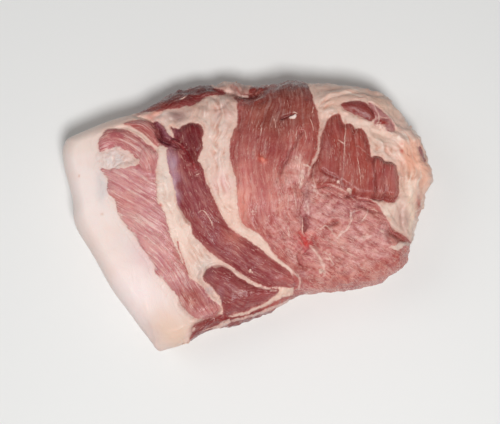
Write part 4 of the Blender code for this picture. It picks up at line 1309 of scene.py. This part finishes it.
# %% Add any other node from its type, settings and sockets
class Finish:
    """A material being mixed."""

    def __init__(self, name):
        self.material = bpy.data.materials.new(name)
        self.material.use_nodes = True
        self.tree = self.material.node_tree
        self.shader = self.tree.nodes["Principled BSDF"]

    def node(self, kind, settings=None, sockets=None, output=0):
        """Add a node and return one of its outputs."""
        node = self.tree.nodes.new(kind)
        for name, value in (settings or {}).items():
            setattr(node, name, value)
        for name, value in (sockets or {}).items():
            plug(self.tree, node.inputs[name], value)
        return Wire(self.tree, node.outputs[output])

    def number(self, name):
        return self.node("ShaderNodeAttribute", {"attribute_name": name}, output="Fac")

    def colour(self, name):
        return self.node("ShaderNodeAttribute", {"attribute_name": name}, output="Color")

    def vector(self, name):
        return self.node("ShaderNodeAttribute", {"attribute_name": name}, output="Vector")

    def speckle(self, vector, scale, detail, roughness, distortion=0.0):
        """Noise with a number of lumps for each unit of length."""
        return self.node("ShaderNodeTexNoise", None, {
            "Vector": vector, "Scale": scale, "Detail": detail, "Roughness": roughness,
            "Distortion": distortion})

    def threads(self, grain, width, length, detail, roughness):
        """Noise drawn out along the grain, from the width and length of a thread in millimetres."""
        sockets = {0: grain, 1: (1 / width, 1 / length, 1)}
        drawn = self.node("ShaderNodeVectorMath", {"operation": "MULTIPLY"}, sockets)
        return self.speckle(drawn, 1.0, detail, roughness)

    def ease(self, value, low, high):
        """0 below low, 1 above high, eased in between."""
        sockets = {"Value": value, "From Min": low, "From Max": high}
        return self.node("ShaderNodeMapRange", {"interpolation_type": "SMOOTHSTEP"}, sockets)

    def blend(self, share, first, second, kind="MIX"):
        """Mix two colours by a share of the second."""
        settings = {"data_type": "RGBA", "blend_type": kind}
        return self.node("ShaderNodeMix", settings, {0: share, 6: first, 7: second}, output=2)

    def set(self, **sockets):
        for name, value in sockets.items():
            plug(self.tree, self.shader.inputs[name.replace("_", " ")], value)


# %% [markdown]
# ## Raw meat and fat
# Lean meat is a bundle of fibres with pale connective tissue between them, so its colour runs in
# streaks along the grain. The grain attribute gives millimetres across and along, and noise drawn
# out along it makes streaks that bend with the muscle. Marbling is a noise folded at its middle
# value, which leaves a net of thin lines. The edge between lean and fat is the stored depth, shaken
# by fine noise so that it frays. Where two grains meet, a mix without any grain takes over for a
# millimetre, and no streak is cut off. Fat is nearly smooth, with soft lobes.

# %% Read the attributes and lay the noises
meat = Finish("raw_meat")
place = meat.node("ShaderNodeTexCoord", output="Object")
run = meat.vector("grain")
lean_depth, streak_share, marble_share, white_share, crease_shade_share = (
    meat.number(name) for name in ("lean", "streak", "marble", "white", "crease_shade"))
film_share, blood_share, haze_share, ruffle_share = (
    meat.number(name) for name in ("film", "blood", "haze", "ruffle"))
steady = 1 - meat.ease(meat.number("join"), 0.20, 0.58)
lean_colour = meat.colour("tint")
fat_colour = meat.colour("fat_tint")

bundle = meat.threads(run, 2.2, 17, 2.0, 0.5)
fibre = meat.threads(run, 0.75, 6.5, 2.0, 0.55)
hair = meat.threads(run, 0.4, 4.0, 1.0, 0.5)
shred = meat.threads(run, 2.4, 5.5, 4.0, 0.62)
strand = meat.threads(run, 1.5, 24, 2.0, 0.45)
broad = meat.speckle(place, 70.0, 2.0, 0.5)
patch = meat.speckle(place, 160.0, 3.0, 0.6)
tangle = meat.speckle(place, 260.0, 5.0, 0.62, 1.2)
fray = meat.speckle(place, 620.0, 4.0, 0.7)
grit = meat.speckle(place, 900.0, 3.0, 0.6)
print("noises laid in", len(meat.tree.nodes), "nodes")

# %% Mix the meat
FAT_NET = (0.84, 0.54, 0.47)
HAZE_STRAND = (0.86, 0.62, 0.56)
in_patch = meat.ease(patch, 0.42, 0.60)
middle = meat.node("ShaderNodeMath", {"operation": "ABSOLUTE"}, {0: tangle - 0.5})
net = 1 - meat.ease(middle, 0.0, 0.035)
deep = meat.blend(1.0, lean_colour, (0.76, 0.38, 0.37), "MULTIPLY")
pale = meat.blend(0.55, lean_colour, (0.86, 0.48, 0.39))


def layered(colour, layers):
    """Lay one colour after another where a noise is high, by a share."""
    for noise_wire, low, high, share, laid in layers:
        colour = meat.blend(meat.ease(noise_wire, low, high) * share, colour, laid)
    return colour


lean_mix = layered(lean_colour, [
    (1 - bundle, 0.48, 0.66, 0.16 + 0.30 * streak_share, deep),
    (1 - shred, 0.50, 0.62, marble_share * 0.30, deep),
    (1 - tangle, 0.50, 0.62, marble_share * 0.55, deep),
    (1 - hair, 0.50, 0.66, 0.10 + 0.26 * streak_share, deep),
    (fibre, 0.50, 0.62, streak_share * (0.22 + 0.60 * in_patch), pale),
    (bundle, 0.50, 0.66, streak_share * 0.40, pale),
    (shred, 0.50, 0.64, marble_share * 0.25, pale),
    (tangle, 0.52, 0.64, marble_share * 0.50, pale),
    (strand, 0.51, 0.62, (0.4 + 0.6 * in_patch) * haze_share * 0.62, HAZE_STRAND),
])
lean_mix = meat.blend(net * in_patch * marble_share * 0.40, lean_mix, FAT_NET)
plain_mix = layered(lean_colour, [
    (1 - tangle, 0.50, 0.62, 0.5, deep),
    (tangle, 0.52, 0.64, 0.45, pale),
])
lean_mix = meat.blend(steady, plain_mix, lean_mix)
print("lean mixed from", len(meat.tree.nodes), "nodes")

# %% Mix the fat, lay the films, white lines and blood, and paint shade into the clefts
WHITE_WEB = (0.82, 0.57, 0.49)
BLOOD_RED = (0.46, 0.035, 0.035)
PAINTED_CREASE_SHADE = (0.17, 0.022, 0.024)
fat_mix = layered(fat_colour, [
    (broad, 0.45, 0.75, 0.14, (0.86, 0.52, 0.41)),
    (patch, 0.48, 0.70, ruffle_share * 0.32, (0.82, 0.46, 0.36)),
    # Painted highlight: pale cream along the crests of the wrinkled fat.
    (bundle, 0.46, 0.66, ruffle_share * steady * 0.36, (0.94, 0.80, 0.70)),
    (lean_depth, -2.6, 0.4, 0.08 + 0.30 * patch, (0.74, 0.38, 0.30)),
])
edge = lean_depth + (fray - 0.5) * 2.0 + (strand - 0.5) * haze_share * steady * 8.0
is_lean = meat.ease(edge, -0.55, 0.55)
is_film = meat.ease(film_share + (fray - 0.5) * 1.4 + (shred - 0.5) * 0.8, 0.30, 0.75)
surface = meat.blend(is_lean * (1 - is_film), fat_mix, lean_mix)
surface = layered(surface, [
    (white_share + (fray - 0.5) * 0.9, 0.30, 0.85, white_share * 0.85, WHITE_WEB),
    (blood_share + (fray - 0.5) * 0.8, 0.30, 0.90, blood_share, BLOOD_RED),
])
# Painted shade: the clefts are darkened where shade falls into them.
surface = meat.blend(crease_shade_share * (0.80 + 0.4 * (patch - 0.5)), surface, PAINTED_CREASE_SHADE)
print("surface mixed from", len(meat.tree.nodes), "nodes")

# %% Roughen the meat and give it its wet gloss
along_grain = (bundle * 0.5 + fibre * 0.35 + hair * 0.2) * (0.2 + 0.8 * is_lean)
along_grain = along_grain + shred * marble_share * 0.3
relief = along_grain * steady + tangle * (0.55 * marble_share + 0.3 * ruffle_share) + grit * 0.12
relief = relief + patch * ruffle_share * 0.6 + (1 - steady) * tangle * 0.5
bump = meat.node("ShaderNodeBump", None, {"Height": relief, "Strength": 0.8, "Distance": 1.1 * MM})
meat.set(Base_Color=surface, Roughness=0.13 + 0.26 * grit + 0.12 * (1 - is_lean), Normal=bump)
meat.set(IOR=1.4, Specular_IOR_Level=0.5, Subsurface_Weight=0.10, Subsurface_Scale=2 * MM)
meat.set(Subsurface_Radius=(1.0, 0.35, 0.25))
print("meat mixed from", len(meat.tree.nodes), "nodes")

# %% Put the skin in place of the solid
skin_mesh.transform(((MM, 0, 0, 0), (0, MM, 0, 0), (0, 0, MM, 0), (0, 0, 0, 1)))
skin_mesh.materials.append(meat.material)
skin_mesh.shade_smooth()
slab = bpy.data.objects.new("meat_slab", skin_mesh)
bpy.context.scene.collection.objects.link(slab)
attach(slab, "root")
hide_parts("pork_neck")

# %% [markdown]
# ## A tree for scattering
# Real marbling is thousands of short pale threads, each lying along the fibres around it, and here
# the same threads also stand in for the small wet glints along the fibres, as painted highlights.
# That is work for Geometry Nodes: points are scattered over the skin where an attribute allows it,
# a small lump is put on each, laid flat, turned along the fibres and stretched. The same tree makes
# the rags of fat on the trimmed rim from rounder lumps, so it gets its sizes as inputs.

# %% Build the scattering tree
class Tree:
    """A Geometry Nodes tree being built, with named inputs."""

    def __init__(self, name, inputs):
        self.group = bpy.data.node_groups.new(name, "GeometryNodeTree")
        self.add_socket("Geometry", "OUTPUT", "Geometry")
        self.add_socket("Geometry", "INPUT", "Geometry")
        for label, kind in inputs.items():
            self.add_socket(label, "INPUT", kind)
        self.entry = self.group.nodes.new("NodeGroupInput")
        self.exit = self.group.nodes.new("NodeGroupOutput")

    def add_socket(self, label, way, kind):
        self.group.interface.new_socket(label, in_out=way, socket_type="NodeSocket" + kind)

    def take(self, label):
        return self.entry.outputs[label]

    def node(self, kind, settings=None, sockets=None, output=0):
        """Add a node and return one of its outputs."""
        node = self.group.nodes.new(kind)
        for name, value in (settings or {}).items():
            setattr(node, name, value)
        for name, value in (sockets or {}).items():
            if isinstance(value, bpy.types.NodeSocket):
                self.group.links.new(value, node.inputs[name])
            else:
                node.inputs[name].default_value = value
        return node.outputs[output]

    def math(self, operation, *values):
        return self.node("ShaderNodeMath", {"operation": operation}, dict(enumerate(values)))

    def vector_math(self, operation, sockets):
        return self.node("ShaderNodeVectorMath", {"operation": operation}, sockets)

    def stored(self, name, kind="FLOAT"):
        return self.node("GeometryNodeInputNamedAttribute", {"data_type": kind}, {"Name": name})

    def chance(self, low, high, seed):
        """A random number for each point."""
        sockets = {2: low, 3: high, "Seed": seed}
        return self.node("FunctionNodeRandomValue", {"data_type": "FLOAT"}, sockets, output=1)

    def wander(self, geometry, lumps, detail):
        """Lead every point a little to and fro, as far as the Wander input says."""
        sockets = {"Scale": lumps, "Detail": detail}
        wobble = self.node("ShaderNodeTexNoise", None, sockets, output=1)
        wobble = self.vector_math("SUBTRACT", {0: wobble, 1: (0.5, 0.5, 0.5)})
        wobble = self.vector_math("SCALE", {0: wobble, "Scale": self.take("Wander")})
        sockets = {"Geometry": geometry, "Offset": wobble}
        return self.node("GeometryNodeSetPosition", None, sockets)

    def end(self, geometry):
        """Give the geometry its finish and hand it out."""
        sockets = {"Geometry": geometry, "Material": self.take("Finish")}
        finished = self.node("GeometryNodeSetMaterial", None, sockets)
        self.group.links.new(finished, self.exit.inputs[0])


# %% Scatter lumps that lie along the fibres
scatter = Tree("scatter_on_meat", {
    "Where": "String", "Per Square Metre": "Float", "Half Length": "Float", "Half Width": "Float",
    "Half Height": "Float", "Wander": "Float", "Roundness": "Int", "Turn": "Float", "Seed": "Int",
    "Finish": "Material",
})
where = scatter.stored(scatter.take("Where"))
points = scatter.node("GeometryNodeDistributePointsOnFaces", None, {
    "Mesh": scatter.take("Geometry"), "Seed": scatter.take("Seed"),
    "Density": scatter.math("MULTIPLY", where, scatter.take("Per Square Metre")),
})
laid = scatter.node("FunctionNodeAlignRotationToVector", {"axis": "Z"}, {
    "Vector": points.node.outputs["Normal"]})
turned = scatter.node("FunctionNodeAlignRotationToVector", {"axis": "X", "pivot_axis": "Z"}, {
    "Rotation": laid, "Vector": scatter.stored("fibre_run", "FLOAT_VECTOR")})
most = scatter.take("Turn")
swing = scatter.chance(scatter.math("MULTIPLY", most, -1.0), most, 5)
swing = scatter.node("ShaderNodeCombineXYZ", None, {"Z": swing})
swing = scatter.node("FunctionNodeEulerToRotation", None, {"Euler": swing})
turned = scatter.node("FunctionNodeRotateRotation", {"rotation_space": "LOCAL"}, {
    "Rotation": turned, "Rotate By": swing})
sizes = {
    axis: scatter.math("MULTIPLY", scatter.chance(low, high, seed), scatter.take(label))
    for axis, label, low, high, seed in (
        ("X", "Half Length", 0.35, 1.5, 1), ("Y", "Half Width", 0.6, 1.4, 2),
        ("Z", "Half Height", 0.6, 1.4, 3))
}
lump = scatter.node("GeometryNodeMeshIcoSphere", None, {
    "Radius": 1.0, "Subdivisions": scatter.take("Roundness")})
lumps = scatter.node("GeometryNodeInstanceOnPoints", None, {
    "Points": points, "Instance": lump, "Rotation": turned,
    "Scale": scatter.node("ShaderNodeCombineXYZ", None, sizes)})
lumps = scatter.node("GeometryNodeRealizeInstances", None, {"Geometry": lumps})
lumps = scatter.wander(lumps, 520.0, 1.0)
scatter.end(scatter.node("GeometryNodeSetShadeSmooth", None, {"Geometry": lumps}))
print("scattering tree with", len(scatter.group.nodes), "nodes")


# %% Run a tree and keep a plain mesh
def grow(name, mesh, tree, values):
    """Run a tree on a mesh and keep the result as a plain mesh piece."""
    base = bpy.data.objects.new(name + "_base", mesh)
    bpy.context.scene.collection.objects.link(base)
    modifier = base.modifiers.new("grow", "NODES")
    modifier.node_group = tree.group
    for item in tree.group.interface.items_tree:
        if item.in_out == "INPUT" and item.name in values:
            modifier[item.identifier] = values[item.name]
    bpy.context.view_layer.update()
    evaluated = base.evaluated_get(bpy.context.evaluated_depsgraph_get())
    grown = bpy.data.meshes.new_from_object(evaluated)
    bpy.data.objects.remove(base)
    piece = bpy.data.objects.new(name, grown)
    bpy.context.scene.collection.objects.link(piece)
    print(name, "has", len(grown.polygons), "faces")
    return piece

# %% [markdown]
# ## Marbling flecks with painted glints, and rags of fat
# A fleck is a thread of fat between fibres, a quarter of a millimetre wide and about three long,
# and is nearly sunk in the meat. The pale flecks also stand in for the small wet glints along the
# fibres, so they are partly painted highlights. A rag is a soft crumb of fat that the knife left on
# the trimmed rim. Both are a little see-through, so their finish is pale, moist and uneven, and its
# tone is read from the place of each fleck.

# %% Mix the two pale finishes
def mix_pale(name, light, dark, spots_per_metre):
    """A moist pale finish that changes from one fleck to the next."""
    finish = Finish(name)
    spot = finish.node("ShaderNodeTexCoord", output="Object")
    tone = finish.speckle(spot, spots_per_metre, 2.0, 0.5)
    grain_tone = finish.speckle(spot, 900.0, 3.0, 0.6)
    colour = finish.blend(finish.ease(tone, 0.38, 0.62), dark, light)
    colour = finish.blend(finish.ease(grain_tone, 0.4, 0.7) * 0.3, colour, light)
    relief = finish.node("ShaderNodeBump", None, {
        "Height": grain_tone, "Strength": 0.4, "Distance": 0.3 * MM})
    finish.set(Base_Color=colour, Roughness=0.24 + 0.2 * grain_tone, Normal=relief)
    finish.set(IOR=1.4, Specular_IOR_Level=0.4)
    return finish


thread_and_glint_finish = mix_pale("marbling_thread_and_glint", (0.80, 0.48, 0.41), (0.64, 0.30, 0.25), 220.0)
rag_finish = mix_pale("fat_rag", (0.84, 0.64, 0.54), (0.72, 0.44, 0.35), 140.0)

# %% Scatter the flecks and the rags
flecks = grow("marbling_flecks", skin_mesh, scatter, {
    "Where": "fleck", "Per Square Metre": 330000.0, "Half Length": 1.6 * MM,
    "Half Width": 0.13 * MM, "Half Height": 0.04 * MM, "Wander": 0.06 * MM, "Roundness": 1,
    "Turn": 0.25, "Seed": 4, "Finish": thread_and_glint_finish.material,
})
rags = grow("fat_rags", skin_mesh, scatter, {
    "Where": "rag", "Per Square Metre": 16000.0, "Half Length": 2.4 * MM,
    "Half Width": 1.2 * MM, "Half Height": 0.6 * MM, "Wander": 3.0 * MM, "Roundness": 2,
    "Turn": 3.1, "Seed": 7, "Finish": rag_finish.material,
})
for piece in (flecks, rags):
    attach(piece, "root")

# %% [markdown]
# ## Sinews
# A few tendons stand out as raised whitish strands. Each starts as a chain of points laid on the
# skin along a given path. The tree turns the chains into curves, lets them wander a little,
# tapers them to both ends and gives them a round section.

# %% Draw the sinews
SINEWS = [
    (0.30, [(28.6, 61.2), (30.2, 61.4), (31.8, 60.4)]),
    (0.28, [(-31.4, -3), (-29.7, -1.6), (-27.8, -2.4), (-25.5, -5), (-23.4, -9), (-22.4, -12.4)]),
    (0.26, [(62.8, 58), (62.4, 50), (61.6, 41), (61.2, 32), (60.4, 24)]),
    (0.40, [(57.6, 43), (59.4, 42.2), (61.4, 40.8)]),
    (0.22, [(69.6, 33), (70.6, 26), (71.4, 20), (72.2, 14)]),
    (0.28, [(36, 26.8), (37.8, 27), (39.6, 25.6)]),
    (0.45, [(35, 22.6), (35.2, 19), (34.4, 15.6), (33.2, 13)]),
    (0.24, [(60.2, -15.6), (62.4, -14), (64.6, -11.2), (66.4, -7.4), (65.6, -3.8)]),
    (0.30, [(39.6, -24.6), (42.6, -28), (45.4, -31.6), (47.6, -36)]),
    (0.22, [(49.6, -28.6), (51.6, -31.6), (54, -35)]),
    (0.40, [(47.8, -40.4), (48.6, -42), (48, -43.4)]),
    (0.30, [(82.4, 65), (84.6, 60), (84.2, 56.4)]),
    (0.26, [(84.6, 59.8), (88, 58.8), (91.6, 58.6)]),
    (0.22, [(65, 70.6), (70, 71.6), (75.6, 71.6)]),
    (0.26, [(72, -8.6), (74.4, -6), (76, -3), (76.4, 0)]),
    (0.22, [(46.4, -13.8), (49.4, -11.6), (52.4, -14), (54.6, -17.6)]),
    (0.22, [(58.6, -24.4), (63, -28.4), (68.4, -31.8)]),
    (0.24, [(-34, -80), (-30, -78), (-24, -75.8), (-18, -73.6), (-12, -71.6)]),
    (0.26, [(16.4, 58.4), (17.6, 54), (17.8, 51)]),
    (0.24, [(31.6, 50), (30.8, 46), (31, 42)]),
    (0.22, [(36.2, 50), (37, 46), (37.4, 42.6)]),
    (0.30, [(39.4, 58), (41.4, 53), (42.4, 48)]),
    (0.22, [(9.2, 52), (8.6, 49), (8, 46)]),
    (0.30, [(42.4, 66), (41.6, 63), (41, 60.6)]),
    (0.30, [(34.4, -6), (34.8, -10), (34.6, -15), (36.4, -19)]),
    (0.28, [(25, -11), (25.8, -14.6), (26.2, -19.6)]),
    (0.24, [(29.2, 10), (30, 5), (31, 0)]),
    (0.45, [(2.2, -40.4), (3.2, -41.4)]),
    # A painted highlight: the glint on the top flap, made as a raised pale strand.
    (0.40, [(-44.4, 73), (-42.8, 73.2), (-41.2, 74.4)]),
    (0.26, [(-33.6, 22), (-32.4, 21.2), (-31, 22.4)]),
    (0.45, [(82, -2.6), (83.2, -2)]),
]
print(len(SINEWS), "sinews")

# %% Lay chains on the skin
CHAIN_STEP = 0.5
RAY_START = 200 * MM
skin_tree = BVHTree.FromPolygons(
    [vertex.co for vertex in skin_mesh.vertices], [face.vertices[:] for face in skin_mesh.polygons])


def lay_chain(corners):
    """Points on the skin, evenly spaced along a smooth path through the corners."""
    path = open_curve(corners)
    travelled = np.concatenate([[0], np.cumsum(np.hypot(*np.diff(path, axis=0).T))])
    stops = np.linspace(0, travelled[-1], max(4, int(travelled[-1] / CHAIN_STEP)))
    chain = []
    for stop in stops:
        place_x = np.interp(stop, travelled, path[:, 0]) * MM
        place_y = np.interp(stop, travelled, path[:, 1]) * MM
        hit = skin_tree.ray_cast(Vector((place_x, place_y, RAY_START)), Vector((0, 0, -1)))[0]
        if hit is not None:
            chain.append(hit)
    return chain


corners, links, widths = [], [], []
for half_width, path in SINEWS:
    chain = lay_chain(path)
    links += [(len(corners) + step, len(corners) + step + 1) for step in range(len(chain) - 1)]
    corners += chain
    widths += [half_width * MM] * len(chain)
chain_mesh = bpy.data.meshes.new("sinew_chains")
chain_mesh.from_pydata(corners, links, [])
chain_mesh.attributes.new("half_width", "FLOAT", "POINT").data.foreach_set("value", widths)
print(len(SINEWS), "chains with", len(corners), "points")

# %% Build the strand tree and grow the sinews
strand = Tree("sinew_strand", {
    "Wander": "Float", "Ripples": "Float", "Sides": "Int", "Finish": "Material"})
line = strand.node("GeometryNodeMeshToCurve", None, {"Mesh": strand.take("Geometry")})
line = strand.wander(line, strand.take("Ripples"), 2.0)
share = strand.node("GeometryNodeSplineParameter")
taper = strand.math("SMOOTH_MIN", strand.math("PINGPONG", share, 0.5), 0.22, 0.1)
uneven = strand.node("ShaderNodeTexNoise", None, {"Scale": 500.0, "Detail": 2.0})
taper = strand.math("MULTIPLY", taper, uneven)
radius = strand.math("MULTIPLY", taper, strand.stored("half_width"))
radius = strand.math("MULTIPLY", radius, 9.0)
line = strand.node("GeometryNodeSetCurveRadius", None, {"Curve": line, "Radius": radius})
section = strand.node("GeometryNodeCurvePrimitiveCircle", None, {
    "Resolution": strand.take("Sides"), "Radius": 1.0})
tube = strand.node("GeometryNodeCurveToMesh", None, {
    "Curve": line, "Profile Curve": section, "Scale": radius, "Fill Caps": True})
tube = strand.node("GeometryNodeSetShadeSmooth", None, {"Geometry": tube})
strand.end(strand.node("GeometryNodeRealizeInstances", None, {"Geometry": tube}))
sinew_finish = mix_pale("sinew", (0.80, 0.54, 0.45), (0.60, 0.28, 0.23), 320.0)
sinews = grow("sinew_strands", chain_mesh, strand, {
    "Wander": 1.0 * MM, "Ripples": 420.0, "Sides": 6, "Finish": sinew_finish.material,
})
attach(sinews, "root")
